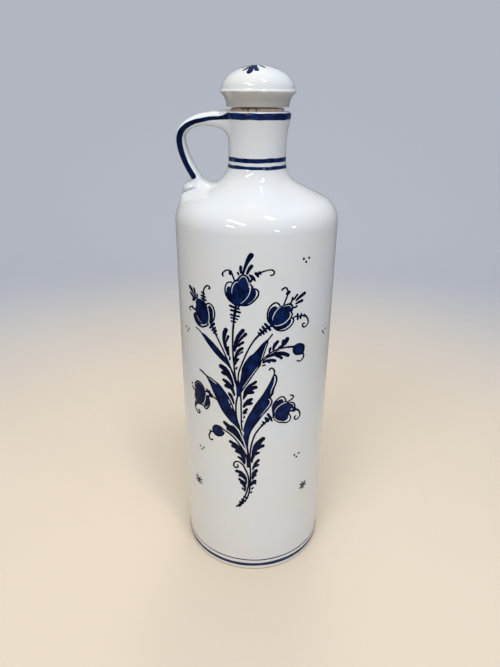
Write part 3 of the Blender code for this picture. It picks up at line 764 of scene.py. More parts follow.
press((-23.6, 160.9, 0.9), (-21.9, 158, 1.0), (-20.8, 155.9, 0.9), (-19.5, 153.6, 0.8), (-17.6, 150, 0.7),
      (-15.8, 146.3, 0.7), (-14.2, 142.6, 0.7), (-12.8, 139.3, 0.7), (-11.5, 136, 0.8), (-10.6, 133, 0.9),
      (-9.6, 129.5, 1.0))

# the right flower
wash((17.0, 171.1, 3.2), (15.9, 170.1, 5.8), (14.1, 168.4, 7.9), (12.5, 166.7, 8.4), (11.2, 165.2, 6.8),
     (10.2, 163.9, 4.2))
flood((9.9, 171.6, 1.5), (8.7, 170.5, 2.6), (7.9, 168.6, 2.4), (7.6, 166.3, 1.9), (7.9, 164.3, 1.6),
      (8.7, 162.9, 1.2))
flood((9.6, 161.8, 1.1), (11.4, 161.1, 1.7), (13.4, 161.2, 2.2), (15.3, 162.2, 2.6), (16.8, 163.5, 2.4),
      (17.4, 164.6, 1.2))
bare((12.4, 171.9, 0.2), (11.2, 171, 0.4), (10, 169.7, 0.45), (9.1, 168.2, 0.45), (8.6, 166.6, 0.35),
     (8.5, 165.2, 0.15))
bare((17.5, 168.5, 0.45), (17.8, 167, 0.5), (17.3, 165.5, 0.5), (16, 164.1, 0.5), (14.3, 162.9, 0.55),
     (12.4, 162.3, 0.5), (10.8, 162.1, 0.4), (9.4, 162.4, 0.25))
bare((13.4, 171.9, 0.15), (15, 172, 0.25), (16.7, 172.1, 0.3), (17.8, 171.5, 0.3), (18, 170.4, 0.2))
trace(0.7, (15.2, 172.6), (17.2, 172.9), (18.5, 171.9), (18.9, 170.6), (18.6, 169.5), (18.2, 168.6),
      (18.7, 167.4), (18.4, 166), (17.4, 165.2))
trace(0.7, (12.4, 171.9), (11.7, 173), (10.7, 174), (9.4, 174.1), (7.9, 173.2), (6.6, 171.5), (6, 169.3),
      (5.9, 167), (6.3, 165), (7.5, 163.2), (8.9, 161.7), (10.2, 160.3), (12, 159.4), (14, 159.1),
      (16.2, 159.7), (18, 160.9), (19.2, 162.4), (19.7, 163.9), (19.2, 164.9), (17.9, 165.3))
trace(0.5, (12.3, 171.9), (13.8, 172.3), (15.4, 172.7))
press((17.6, 173.2, 0.7), (18.4, 174.6, 0.9), (18.6, 176, 0.9))
press((19.4, 174.8, 0.7), (20.3, 176, 1.0), (21.2, 177, 1.1))
press((20.6, 174.0, 0.7), (21.9, 175.1, 1.2), (23.8, 176.2, 1.5), (25.6, 177.1, 1.6))
press((20.5, 172.4, 0.7), (21.9, 172.9, 1.1), (23.4, 173.3, 1.3), (24.3, 173.5, 1.4))
press((19.5, 170.6, 0.7), (20.6, 170.7, 0.9), (21.3, 171.3, 0.8))
trace(0.7, (14, 172.8), (14.8, 174.9), (15.6, 177), (15.8, 178.4))
press((15.2, 178.2, 0.9), (16.1, 178.6, 1.5), (17, 179.3, 0.8))
press((15.9, 179.4, 0.7), (15.4, 180.8, 0.7), (14.6, 181.4, 0.7), (13.6, 181.2, 0.7), (12.8, 180.4, 0.9))
press((19.2, 165.1, 0.6), (21, 165.7, 0.7), (22.5, 165.4, 0.7), (24.3, 165.4, 0.7), (26.2, 165.2, 0.9),
      (27.6, 164, 0.8), (28.6, 162.4, 0.8), (28.9, 160.8, 0.8), (28.2, 159.6, 0.7), (27, 158.9, 0.7),
      (25.8, 159, 0.7), (25.1, 160.1, 0.8), (25.5, 160.9, 0.7), (26.6, 160.7, 0.6))
press((21.8, 166.9, 0.9), (22, 165, 1.1), (22, 163.7, 0.8))
press((24.1, 166.6, 0.8), (23.8, 165, 1.1), (23.7, 163.9, 0.7))
press((26.1, 166, 0.5), (25.9, 164.4, 0.7))
press((4.7, 163.6, 1.0), (6.2, 161.8, 1.3), (7.5, 160.0, 1.0))
press((3.5, 162.2, 0.9), (4.6, 160.6, 1.15), (5.6, 159.0, 0.8))
press((2.3, 160.7, 0.8), (3.3, 159.4, 1.1), (4.4, 158.0, 0.8))
press((1.5, 159, 0.7), (2.3, 158.1, 1.0), (3, 157.3, 0.7))
press((8.7, 162.2, 0.8), (6.6, 161.7, 0.9), (4.6, 160, 1.1), (2.4, 158, 1.0), (0, 155.2, 0.8), (-2, 152, 0.7),
      (-3.7, 148.5, 0.7), (-5.2, 144.8, 0.7), (-6.4, 141.5, 0.7), (-7.6, 138, 0.7), (-8.3, 135, 0.7),
      (-8.4, 132, 0.7), (-8, 129, 0.7))

# fern leaves beside the tall stem
press((-10.2, 147.9, 0.6), (-9.8, 150.5, 1.6), (-8.9, 153.5, 2.5), (-7.9, 156.5, 2.3), (-6.8, 158.6, 1.9),
      (-5.8, 160, 1.5))
press((-8.4, 153.8, 1.7), (-6.5, 156, 1.4), (-4.9, 157.6, 1.6), (-4.4, 158.1, 1.1))
press((-8.5, 151.4, 1.7), (-6.9, 152.7, 1.4), (-5.8, 153.4, 1.2))
press((-9.9, 142.6, 0.8), (-9.6, 145, 1.3), (-8.6, 147.5, 1.8), (-7.2, 149.2, 1.7), (-6.1, 150.1, 1.2))
press((-8.7, 146.4, 1.4), (-7.3, 147.6, 1.3), (-6.2, 148, 1.0))
press((-10, 140.4, 0.6), (-9.5, 142.3, 1.2), (-8.6, 143.5, 1.2), (-8.1, 143.9, 0.7))
press((-9.5, 137.8, 0.6), (-9.2, 138.8, 0.8), (-8.9, 139.2, 0.5))
press((-14.3, 147.3, 0.9), (-15, 149.5, 1.5), (-15.6, 152.5, 1.8), (-15.8, 155.5, 1.9), (-15.3, 157.8, 2.1),
      (-14.7, 159.3, 1.9))
press((-14.9, 152.7, 1.1), (-14.2, 154.5, 1.4), (-13.5, 155.9, 1.2))
press((-13.5, 145.2, 0.9), (-13.9, 147.2, 1.6), (-13.8, 149.2, 1.1), (-13.5, 150.1, 0.6))
press((-12.9, 142.7, 0.7), (-12.8, 144, 0.8), (-12.9, 144.8, 0.5))

bare((-8.3, 154.3, 0.12), (-7, 156.4, 0.25), (-5.7, 158.3, 0.4))
bare((-8.4, 152.5, 0.12), (-7, 153.6, 0.3), (-5.6, 154.6, 0.45))
bare((-8.3, 147, 0.12), (-6.9, 148.3, 0.3), (-5.9, 149.2, 0.4))
bare((-15.1, 153.2, 0.12), (-14.6, 155.2, 0.3), (-14.2, 157.2, 0.4))

# the narrow left leaf
wash((-29.4, 153.7, 0.9), (-27.5, 152.5, 1.8), (-25.5, 151, 2.6), (-23, 149, 3.0), (-20.5, 146.8, 3.0),
     (-18, 144.6, 2.5), (-15.6, 142.4, 2.0), (-13.8, 140.4, 1.3))
trace(0.5, (-34, 155.9), (-31.5, 155), (-29.5, 153.9), (-27, 153.3), (-24.3, 151.4), (-21.3, 149),
      (-18.6, 146.5), (-16.2, 144), (-14.6, 141.9), (-13, 139), (-11.6, 135.6))
trace(0.5, (-31, 154.6), (-29, 153.1), (-26.6, 150.4), (-24, 147.9), (-21.6, 145.6), (-19, 143.4),
      (-16.4, 141.4), (-14.4, 140), (-12.8, 138.2))

# the broad leaf behind the right stem
wash((6.2, 154.3, 0.8), (4.7, 151.8, 2.6), (3.1, 149, 3.4), (1.5, 146, 4.6), (0.1, 143.5, 5.6),
     (-1.6, 140.5, 6.2), (-3.1, 137.5, 5.8), (-4.2, 134.5, 5.0), (-5.2, 131.5, 4.0), (-6.3, 128.5, 2.9),
     (-7.6, 125, 1.8), (-8.3, 122.3, 1.1))
wash((-0.7, 145.4, 1.6), (-2.4, 143.6, 2.2), (-4.1, 140.8, 2.2))
trace(0.6, (8.7, 157.8), (7.4, 156), (6.2, 154.6), (4.1, 152.6), (2, 149.9), (0.3, 147.2), (-0.3, 146.5),
      (-1.4, 146.4), (-2.6, 145.3), (-4.2, 142.9), (-5.6, 140.2), (-6.5, 137.4))
trace(0.6, (6.4, 154.4), (5.6, 151), (4.4, 146.6), (3.1, 142.9), (2.7, 140.9), (1.2, 138.5), (-0.2, 136.3),
      (-1.2, 134.6), (-2.5, 132.4), (-3.9, 130), (-5.3, 127.6), (-6.5, 125.8), (-7.1, 124), (-7.1, 121.6),
      (-7, 119.6))
bare((1.6, 139.9, 0.2), (0.2, 137.8, 0.3), (-1.1, 135.7, 0.3), (-2.5, 133.5, 0.3), (-3.9, 131.1, 0.3),
     (-5.1, 129, 0.3), (-6.1, 127.2, 0.2))
bare((5.9, 153, 0.15), (5.2, 150.8, 0.3), (4.4, 148.1, 0.3), (3.7, 145.6, 0.3), (3.1, 143.6, 0.15))

# the right bud and its ferns
wash((21.4, 148.9, 2.4), (22.6, 147.9, 4.8), (23.9, 146.9, 5.6), (25.2, 146, 4.6), (25.8, 145.4, 3.0))
press((20.9, 149.6, 0.5), (22.5, 150.2, 0.5), (24.2, 150.1, 0.6), (25.8, 149.3, 0.8), (26.8, 148.1, 0.9),
      (27, 146.7, 0.8), (26.4, 145.6, 0.7), (26.6, 144.5, 0.6), (27, 143, 0.8), (26.9, 141.7, 0.8),
      (26, 140.7, 0.7), (24.9, 140.1, 0.6), (23.9, 140.2, 0.6), (22.9, 140.9, 0.7))
trace(0.7, (20.7, 149.2), (20.2, 147.8), (20.6, 146), (21.8, 144.7), (23.4, 144.2), (25, 144.1), (26, 143.9))
press((3.6, 143.5, 0.5), (6, 146, 0.6), (9, 148.2, 0.6), (12, 149.4, 0.7), (15.5, 149.7, 0.8),
      (18.5, 149.5, 0.9), (20.8, 149.2, 0.9))
trace(0.4, (3.9, 142.9), (6.6, 145.3), (9.6, 147.5), (12.2, 148.7))
press((7.3, 147.8, 0.7), (7.5, 149.3, 1.1), (8, 150.4, 0.8))
press((9.2, 149, 0.7), (9.7, 151, 1.5), (11, 153, 1.5), (11.7, 153.7, 1.1))
press((9.6, 150.9, 1.1), (9.8, 152.4, 1.1))
press((12, 150.2, 0.7), (13.6, 150.7, 1.2), (15.2, 152.2, 2.0), (16.3, 153.8, 2.2), (16.6, 154.5, 1.9))
press((14.2, 151.3, 1.3), (14.3, 153, 1.4), (14.5, 153.9, 1.0))
press((6, 145.0, 0.6), (8.6, 146.2, 1.5), (11.5, 146.7, 1.9), (14.3, 146.5, 2.0), (16.3, 145.6, 1.9),
      (17.5, 144.8, 1.6))
press((11, 145.7, 1.4), (12.9, 144.8, 1.4), (13.9, 143.8, 1.2))
press((4, 142.1, 0.6), (6, 143.1, 1.3), (8.5, 143.4, 1.5), (10.2, 142.9, 1.5), (10.7, 142.8, 1.0))
press((6.8, 142.6, 0.9), (7.7, 142, 0.7))
press((3.8, 140.5, 0.6), (5.3, 140.9, 0.8))

# fern leaves left of the middle stem
press((-18.1, 138.2, 2.2), (-16.5, 137.6, 2.5), (-14.8, 136, 2.7), (-13.3, 133.6, 2.3), (-12, 131, 1.6),
      (-11.2, 128.5, 1.0), (-10.9, 127.4, 0.6))
press((-17.2, 134.8, 1.5), (-16, 134.4, 1.9), (-14.3, 134.2, 2.1), (-13, 132.5, 1.5))
press((-16.6, 130.6, 1.4), (-15.2, 129.9, 1.8), (-13.6, 128.6, 2.1), (-12, 126.6, 1.9), (-11, 124.2, 1.3),
      (-10.5, 122.3, 0.9))
press((-15.5, 127.4, 1.5), (-14.2, 127, 1.8), (-12.6, 126.6, 1.5))
press((-13.5, 123.1, 1.3), (-12.5, 121.8, 1.6), (-11.6, 119.9, 1.3), (-11, 118, 0.9), (-10.8, 117.1, 0.6))

# the large left leaf
wash((-25.6, 128.2, 1.2), (-24.3, 127.2, 2.4), (-22.1, 125.4, 4.6), (-19.7, 122.8, 6.2), (-17.5, 119.6, 7.0),
     (-15.8, 116.4, 7.1), (-14.3, 113.2, 6.6), (-12.7, 110.2, 5.4), (-11.1, 107.4, 3.8), (-9.7, 105.2, 2.4),
     (-8.7, 103.4, 1.2))
bare((-25.2, 129, 0.3), (-23.6, 128.5, 0.5), (-22, 127.7, 0.4), (-20.6, 126.9, 0.2))
bare((-13.9, 119.3, 0.2), (-13.3, 118, 0.5), (-12.8, 116.8, 0.2))
bare((-12.6, 116.4, 0.2), (-12.1, 115.2, 0.4), (-11.7, 114, 0.15))
press((-32.3, 131.9, 0.6), (-30.5, 131.6, 0.9), (-28.5, 130.6, 0.9), (-26.4, 129.7, 0.8), (-24, 129.3, 0.7),
      (-22, 128.4, 0.7), (-19.8, 127.3, 0.7), (-17.6, 125.4, 0.6), (-15.5, 122.7, 0.6), (-14, 120, 0.6),
      (-12.6, 117, 0.5), (-11.2, 113.4, 0.5), (-10, 109.8, 0.6), (-8.9, 106.5, 0.7), (-7.9, 103.6, 0.8))
trace(0.7, (-27, 129.5), (-24.8, 126.6), (-22.8, 123.2), (-21, 119.8), (-19.2, 116), (-17.3, 112.4),
      (-15.1, 109.1), (-12.6, 106.3), (-10.5, 104.5), (-8.5, 102.5), (-7, 100.2), (-5.9, 97.4), (-4.9, 94.4),
      (-4.5, 92))

# the middle stem, two lines with white between
wash((-9.1, 131, 1.0), (-8.6, 128, 1.6), (-8.4, 125, 1.7), (-8.7, 122.6, 1.1))
trace(0.8, (-8.8, 122), (-9.5, 118.5), (-9.7, 115), (-9.6, 111), (-9.2, 108), (-8.6, 105.5), (-8, 103.4),
      (-6.9, 99.6), (-5.6, 95.6), (-4.6, 92), (-3.8, 88))
trace(0.7, (-7.3, 126), (-7.1, 122), (-6.9, 119), (-6.9, 115.5), (-6.8, 111.5), (-6.8, 108), (-6.7, 105),
      (-6.3, 101.5))
trace(0.5, (-6.5, 106.6), (-5.7, 107.2))

# fern leaves right of the middle stem
press((-5.7, 120.6, 0.6), (-5.1, 122.6, 1.5), (-4.2, 125, 2.4), (-2.9, 127.2, 2.7), (-1.4, 129.2, 2.1),
      (0.1, 130.8, 1.4), (0.9, 131.5, 1.1))
press((-2.0, 126.8, 2.4), (-0.1, 127.9, 1.8), (0.8, 128, 1.9))
press((-3, 124.8, 2.0), (-1.4, 125, 1.7), (-0.6, 125.1, 1.5))
bare((-1.2, 129.0, 0.12), (-0.5, 129.2, 0.3), (0.2, 129.5, 0.45))
press((-5.6, 115.8, 0.8), (-4.9, 117.2, 1.7), (-3.6, 119, 2.1), (-2.2, 120.4, 1.7), (-1.2, 121.1, 1.2))
press((-3.4, 118, 1.8), (-1.8, 118.4, 1.6), (-1.3, 118.7, 1.2))
press((-5.5, 111.7, 0.8), (-5, 113, 1.6), (-4.1, 114.4, 1.3), (-3.6, 114.9, 0.9))
press((-4.8, 112.4, 1.2), (-4.1, 112.4, 0.9))
press((-5.6, 108.9, 0.5), (-5.2, 109.9, 0.8), (-5.1, 110.6, 0.5))

# the large right leaf with its curled tip
wash((9.7, 133.6, 0.9), (9.2, 131.2, 1.5), (8.5, 128.4, 2.2), (7.5, 125, 3.2), (6.0, 121.5, 4.6),
     (4.4, 118, 5.8), (2.7, 114.6, 6.2), (1, 111.3, 5.7), (-0.6, 108, 5.0), (-2, 104.8, 4.1),
     (-3.2, 101.5, 3.3), (-3.9, 98, 2.6), (-4.2, 94.5, 1.8), (-4.1, 91.5, 1.1))
wash((8, 121.4, 1.2), (8.2, 119.8, 1.4), (7.4, 117.2, 1.4))
press((7.6, 137.9, 0.9), (7.9, 138.6, 0.7), (8.8, 138.9, 0.7), (9.8, 138, 0.7), (10.2, 136.8, 0.7),
      (10.1, 135.2, 0.6), (9.3, 133, 0.6), (7.7, 129.4, 0.6), (5.6, 125.4, 0.6), (3.4, 121.4, 0.6),
      (1.2, 117.7, 0.6), (-0.9, 114.2, 0.6), (-2.7, 110.8, 0.6), (-4, 107.4, 0.6), (-4.9, 104, 0.6),
      (-5.5, 100.6, 0.6))
trace(0.8, (10.1, 134.9), (11, 134.2), (11.5, 132.6), (11.3, 130.6), (10.6, 128.2), (9.9, 126.3), (9.7, 124.3),
      (9, 122.9), (7.9, 121.7))
trace(0.7, (7.6, 121.5), (8.7, 120.8), (9.3, 119.2), (8.9, 117.4), (7.8, 115.6), (6.3, 113.6), (4.5, 111.5),
      (2.7, 109.3), (1, 106.8), (-0.4, 104.2), (-1.7, 101.3), (-2.7, 98), (-3.2, 94.6), (-3.4, 91),
      (-3.3, 87.5))

bare((10.3, 133.9, 0.35), (10.7, 132.4, 0.6), (10.5, 130.8, 0.6), (9.9, 128.8, 0.5), (9.1, 126.8, 0.4),
     (8.6, 125, 0.3), (8.5, 123.6, 0.15))
bare((7.3, 120.8, 0.3), (8.1, 120.4, 0.5), (8.5, 119.2, 0.55), (8.1, 117.6, 0.45), (7.1, 116, 0.35),
     (5.9, 114.2, 0.3), (4.5, 112.3, 0.25), (3.1, 110.4, 0.15))

# the low left flower
flood((-33.3, 122.4, 3.6), (-32.8, 120.6, 6.9), (-32.4, 117.5, 8.0), (-32.9, 114.6, 8.4), (-33.6, 112.6, 6.6),
      (-34.3, 111.5, 3.4))
flood((-27.3, 117.4, 1.2), (-26.9, 115.5, 1.9), (-27.2, 113.2, 2.3), (-28.2, 111.3, 1.9), (-29.2, 110.4, 1.0))
bare((-28.2, 118, 0.25), (-28.4, 115.7, 0.4), (-29.1, 113.3, 0.4), (-30.2, 111.8, 0.35), (-31.4, 111.2, 0.2))
bare((-35.9, 121.8, 0.1), (-34.8, 123, 0.18), (-33.1, 123.5, 0.18), (-31.4, 122.9, 0.1))
bare((-26.4, 112.6, 0.1), (-27.2, 111, 0.25), (-28.2, 110.1, 0.3), (-29.3, 110.3, 0.15))
trace(0.8, (-29.1, 120.9), (-30.4, 123.1), (-33, 124.2), (-35.3, 123.4), (-36.8, 121.4), (-36.7, 119.4))
trace(0.8, (-26.6, 118), (-25.7, 115.6), (-25.6, 113), (-26.5, 110.9), (-28, 109.2), (-29.6, 109.8),
      (-31.6, 110.7))
trace(0.7, (-36.3, 116.4), (-37.3, 114.2), (-36.8, 111.9), (-35.3, 110.8))
press((-27.2, 121.7, 1.1), (-26.6, 120.4, 1.3))
press((-25.7, 121.4, 0.9), (-25.2, 119.8, 1.5), (-25.4, 117.8, 0.9))
press((-24, 119.7, 1.0), (-23.9, 118.6, 1.1), (-24.3, 117.7, 0.6))
press((-28.6, 119.8, 0.7), (-26.5, 120.3, 0.9), (-24.3, 119, 0.9), (-22.3, 118.2, 0.8), (-20.7, 117.5, 0.7),
      (-19.6, 116.7, 0.5))
press((-36.4, 118.2, 0.7), (-37.5, 117.4, 0.8), (-38.5, 117.8, 0.8), (-39.6, 118.8, 0.8))
press((-40.1, 120.4, 1.0), (-39.4, 120.9, 0.8))
press((-34.8, 110.4, 1.4), (-36.3, 109.4, 1.7), (-37.2, 108, 1.5), (-37.3, 106.9, 1.1))
press((-36.2, 109.8, 1.1), (-37.4, 110.2, 0.7))
press((-37.2, 106.6, 0.8), (-36.6, 105.2, 0.8), (-35.2, 104.1, 0.8), (-33.7, 104.2, 0.9), (-33.1, 105.3, 0.8),
      (-33.8, 106, 0.8), (-34.8, 105.7, 0.6))

# the low right flower
wash((19.8, 114.9, 3.2), (18.2, 114.1, 5.8), (16.4, 112.7, 7.8), (14.9, 111.0, 8.2), (13.9, 109.3, 6.4),
     (13.4, 108, 3.6))
flood((12.4, 109.2, 1.6), (13.7, 107.9, 2.7), (15.3, 107.4, 2.8), (17.0, 107.3, 2.5), (18.1, 107.9, 1.6))
flood((14.9, 118.8, 1.5), (13.6, 118.1, 2.7), (12.3, 116.9, 3.2), (11.1, 115.2, 2.8), (10.5, 113.4, 1.8),
      (10.3, 112.1, 1.0))
bare((17.6, 117.2, 0.3), (15.7, 117, 0.45), (13.9, 116.2, 0.45), (12.4, 115, 0.45), (11.4, 113.6, 0.4),
     (10.9, 112.2, 0.25))
bare((10.7, 109.6, 0.25), (11.3, 108.2, 0.4), (12.5, 106.9, 0.45), (14.1, 106.1, 0.45), (15.7, 105.8, 0.25))
bare((19.7, 116.2, 0.3), (20.8, 115.7, 0.4), (21.8, 114.6, 0.4), (22, 113.5, 0.25))
wash((20.8, 115.2, 1.2), (21.4, 114, 1.5), (21.3, 112.9, 1.2))
trace(0.7, (10.1, 112.4), (10.2, 110.6), (10.7, 108.6), (12, 106.7), (14, 105.5), (16, 105), (17.8, 104.5),
      (19.5, 105), (20.4, 106.6), (20, 108.4), (19.2, 109.6), (19.4, 110.8), (20.4, 111.4))
trace(0.7, (17, 117.6), (16.9, 119), (16, 120.6), (14.6, 121.2), (13, 120.6), (11.6, 119.4), (10.5, 117.9),
      (9.8, 116), (9.8, 113.8), (10.1, 112.2))
trace(0.6, (14.9, 117.4), (16.8, 117.9), (18.2, 117.2), (19, 116.2))
trace(0.7, (19.8, 116.6), (21.2, 116.2), (22.4, 115), (22.9, 113.6), (22.4, 112.2), (21.2, 111.4))
press((18.5, 117.6, 0.5), (20, 118.1, 0.8), (21.3, 118.9, 0.8), (21.6, 119.9, 0.8), (20.8, 120.8, 0.7),
      (19.5, 121.1, 0.6))
press((20.5, 111.2, 0.9), (22, 110.7, 0.9), (22.8, 111, 1.5), (23.4, 112.1, 0.9))
press((22.7, 110.8, 0.9), (24.3, 110.9, 1.0), (25.6, 109.7, 0.9), (26.5, 108, 0.9), (26.5, 106.3, 0.8),
      (25.5, 105.1, 0.7), (24, 104.7, 0.7), (23, 105.6, 0.8), (23.1, 106.8, 0.8), (23.9, 106.9, 0.6))
press((7.3, 111.6, 1.2), (8.5, 109.5, 1.3), (9.7, 106.9, 0.7))
press((5.9, 109.6, 0.8), (6.8, 108.4, 1.9), (7.4, 107.1, 1.5))
press((4.6, 107.2, 0.7), (5.2, 106.1, 1.2), (5.9, 105.6, 0.8))
press((3.8, 105.3, 0.5), (4.3, 104.6, 1.1))
press((9.8, 109.4, 0.6), (7.6, 108, 0.9), (5.2, 105.6, 1.0), (3.4, 103.5, 0.8), (2, 101.5, 0.8), (0.6, 99, 0.8),
      (-0.4, 96, 0.8), (-1.1, 93, 0.8), (-1.6, 90, 0.8), (-1.9, 87, 0.8), (-2.2, 84, 0.8), (-2.4, 80, 0.8),
      (-2.5, 77, 0.6))

# the left bud
wash((-22.3, 98.9, 3.0), (-21.2, 98.3, 5.4), (-19.8, 97.7, 5.8), (-18.5, 97.3, 4.4), (-17.9, 97.2, 2.6))
trace(0.8, (-16.8, 99.4), (-17.9, 100.4), (-19.6, 101.1), (-21.6, 101), (-23.2, 99.6), (-23.8, 97.4),
      (-23, 95.6), (-21.2, 94.6), (-19.3, 94.9), (-17.4, 96.2), (-16.7, 98))
press((-24, 96, 0.6), (-25.2, 95.7, 1.0), (-25.8, 94.6, 0.8), (-26.5, 92.9, 0.8), (-26.3, 91.2, 0.8),
      (-25.2, 90.3, 0.8), (-24, 90.9, 0.8))
press((-24.9, 95.6, 0.8), (-25.8, 96.3, 0.8))
trace(0.8, (-16.8, 99.6), (-15.4, 99), (-13, 97.7), (-10.5, 95.5), (-8.2, 92.5), (-6.3, 89.5), (-4.8, 86.6),
      (-3.9, 84), (-3.4, 81), (-3.3, 77.5))

# fern leaves and the curl low on the left
press((-16.5, 104.6, 1.5), (-14.8, 103.2, 2.1), (-13, 101.8, 3.2), (-11, 100.3, 4.0), (-9.2, 98.2, 2.9),
      (-7.6, 95.6, 1.9), (-6.1, 93, 1.3), (-5, 90.8, 0.8), (-4.5, 89.8, 0.5))
press((-14.8, 100.9, 1.3), (-13, 100.6, 2.5), (-11, 99.8, 2.8))
press((-12.2, 102.9, 1.5), (-11, 101.6, 2.2), (-9.9, 99.6, 2.4))
press((-13, 92.9, 1.9), (-11.8, 92.3, 1.7), (-10.2, 91.2, 2.3), (-8.3, 89, 2.9), (-6.8, 86.6, 2.5),
      (-5.6, 84, 1.9), (-4.9, 81.5, 1.1), (-4.8, 79.8, 0.7))
press((-11.8, 90.2, 1.7), (-10, 89.8, 2.1), (-8.5, 88.6, 2.1))
press((-9.9, 87.2, 1.3), (-8.7, 87, 1.7), (-7.4, 86.4, 1.9))
press((-8.5, 83.5, 1.2), (-7.4, 82.9, 1.4), (-6.2, 81.6, 1.2), (-5.3, 79.8, 0.9), (-5, 79, 0.6))
press((-9.1, 78.3, 0.6), (-8.6, 77.5, 0.7), (-8.9, 76.5, 0.8), (-10.2, 76.2, 0.8), (-11.1, 77.4, 0.8),
      (-10.8, 79.2, 0.8), (-9.6, 80.3, 0.8), (-8, 80.3, 0.8), (-6.6, 79.2, 0.8), (-5.4, 77.6, 0.8),
      (-4.5, 75.6, 0.8), (-3.6, 73.4, 0.8), (-2.9, 71, 0.8), (-2.6, 68.5, 0.8), (-2.6, 66, 0.8))
press((-9.7, 73.7, 1.6), (-8, 73.5, 1.9), (-6.4, 72.2, 2.3), (-5, 70.3, 2.1), (-4.2, 68.2, 1.3),
      (-3.9, 66.6, 0.8), (-3.8, 65.5, 0.5))
press((-7.9, 70.9, 1.3), (-6.5, 70.9, 1.7), (-5.3, 69.9, 1.5))
press((-7.9, 68.5, 1.5), (-7, 67.6, 1.5), (-6, 66.6, 2.3), (-5.2, 65, 2.1), (-4.6, 63, 1.3), (-4.6, 61.3, 0.9),
      (-4.9, 60.2, 0.5))
press((-6.9, 66.2, 1.5), (-6, 65.6, 1.5))
press((-6.2, 62.4, 1.0), (-5.5, 61.4, 0.8))

bare((-6.5, 99.5, 0.15), (-6.1, 97, 0.45), (-5.3, 93.8, 0.55), (-4.5, 90.8, 0.5), (-4.0, 88.2, 0.45),
     (-3.8, 85.8, 0.3))

# fern leaves low on the right
press((-0.9, 80.4, 0.6), (-0.7, 83, 1.2), (0, 86, 2.1), (0.6, 89, 2.7), (1.5, 91.6, 2.9), (2.9, 93.8, 2.7),
      (4.2, 95.4, 2.3), (5.3, 96.4, 2.0))
press((2, 90.2, 2.7), (3.8, 91.1, 1.9), (5.1, 91.6, 1.9))
press((1.2, 86.4, 2.1), (2.2, 86.9, 1.4), (2.9, 87.1, 1.2))
press((-0.4, 75.5, 0.6), (0.2, 77.6, 1.3), (1.1, 79.8, 1.5), (2.2, 81.5, 1.5), (2.9, 82.3, 1.3))
press((1, 78, 1.3), (2.1, 78.7, 1.2), (2.7, 79, 1.1))
press((-0.5, 69, 0.7), (-0.1, 71, 1.5), (0.4, 73.2, 2.1), (1.2, 74.6, 1.9), (1.8, 75.4, 1.4))
press((0, 71, 1.5), (1.2, 72, 1.4))
press((-1.3, 64.7, 0.9), (-0.7, 66, 1.7), (0.3, 67.2, 2.1), (1.1, 68.1, 1.5))
press((0.2, 66.4, 1.7), (1.2, 66.1, 1.2))
press((-1.1, 61.9, 0.6), (-0.4, 62.8, 0.9), (0, 63.4, 0.6))
press((-1.6, 59.1, 0.6), (-1, 59.9, 0.9), (-0.7, 60.4, 0.5))

# the foot of the spray, bound with three cross strokes
press((-4.2, 94, 0.9), (-3.6, 90, 1.1), (-3.2, 86, 1.2), (-3.2, 82, 1.1), (-3.3, 79, 0.9), (-3.3, 77.2, 0.6))
trace(0.8, (-2, 84), (-1.9, 80), (-1.7, 76), (-1.6, 72), (-1.6, 68), (-1.9, 64.5), (-2.1, 61), (-2.7, 58),
      (-3.4, 55.6), (-4.4, 53.8), (-5.8, 52), (-7, 50), (-8, 48.7))
trace(0.8, (-2.6, 66), (-3, 63), (-3.6, 60), (-4.4, 57.5), (-5.4, 55), (-6.4, 53), (-7.4, 51.2), (-8.6, 49.5),
      (-9.7, 48.3))
press((-5.3, 56.6, 0.8), (-4.4, 56, 1.2), (-3.6, 55.7, 0.8))
press((-6.6, 54.4, 0.9), (-5.4, 53.5, 1.2), (-4.2, 53, 0.8))
press((-7.9, 52.4, 0.8), (-6.8, 51.9, 1.1), (-5.6, 51.4, 1.0))

# three dots and eight-stroke stars scattered round the spray; those past 45 mm are on the back
rng = random.Random(4)
sprinkles = []
for right, up in ((25.6, 193.9), (-42.6, 152.0), (44, 151.0), (-32.6, 81.4), (25.6, 80.4),
                  (-82, 118), (86, 112), (-104, 182), (104, 186), (133.5, 142), (-66, 178), (70, 182), (133.5, 84)):
    for aside, rise in ((-1.6, 0.8), (1.6, 0.8), (0, -1.0)):
        at = (right + aside + rng.uniform(-0.15, 0.15), up + rise + rng.uniform(-0.15, 0.15))
        sprinkles.append([(at[0] - 0.15, at[1] + 0.1, 1.15), (at[0] + 0.2, at[1] - 0.15, 1.15)])
for right, up in ((-36.8, 56.3), (32, 56.2), (-100, 57), (98, 55), (133.5, 112), (-84, 150), (86, 148)):
    for ray in range(8):
        angle = math.radians(45 * ray + 20) + rng.uniform(-0.12, 0.12)
        reach = rng.uniform(2.7, 3.6)
        sprinkles.append([(right + math.cos(angle) * r, up + math.sin(angle) * r, w)
                          for r, w in ((0.3, 0.4), (reach * 0.6, 0.8), (reach, 0.7))])

SPREAD, RUN_ON = 1.1, 0.42               # shares of a stroke's width
STACK = 40                               # strokes laid before the climb starts over


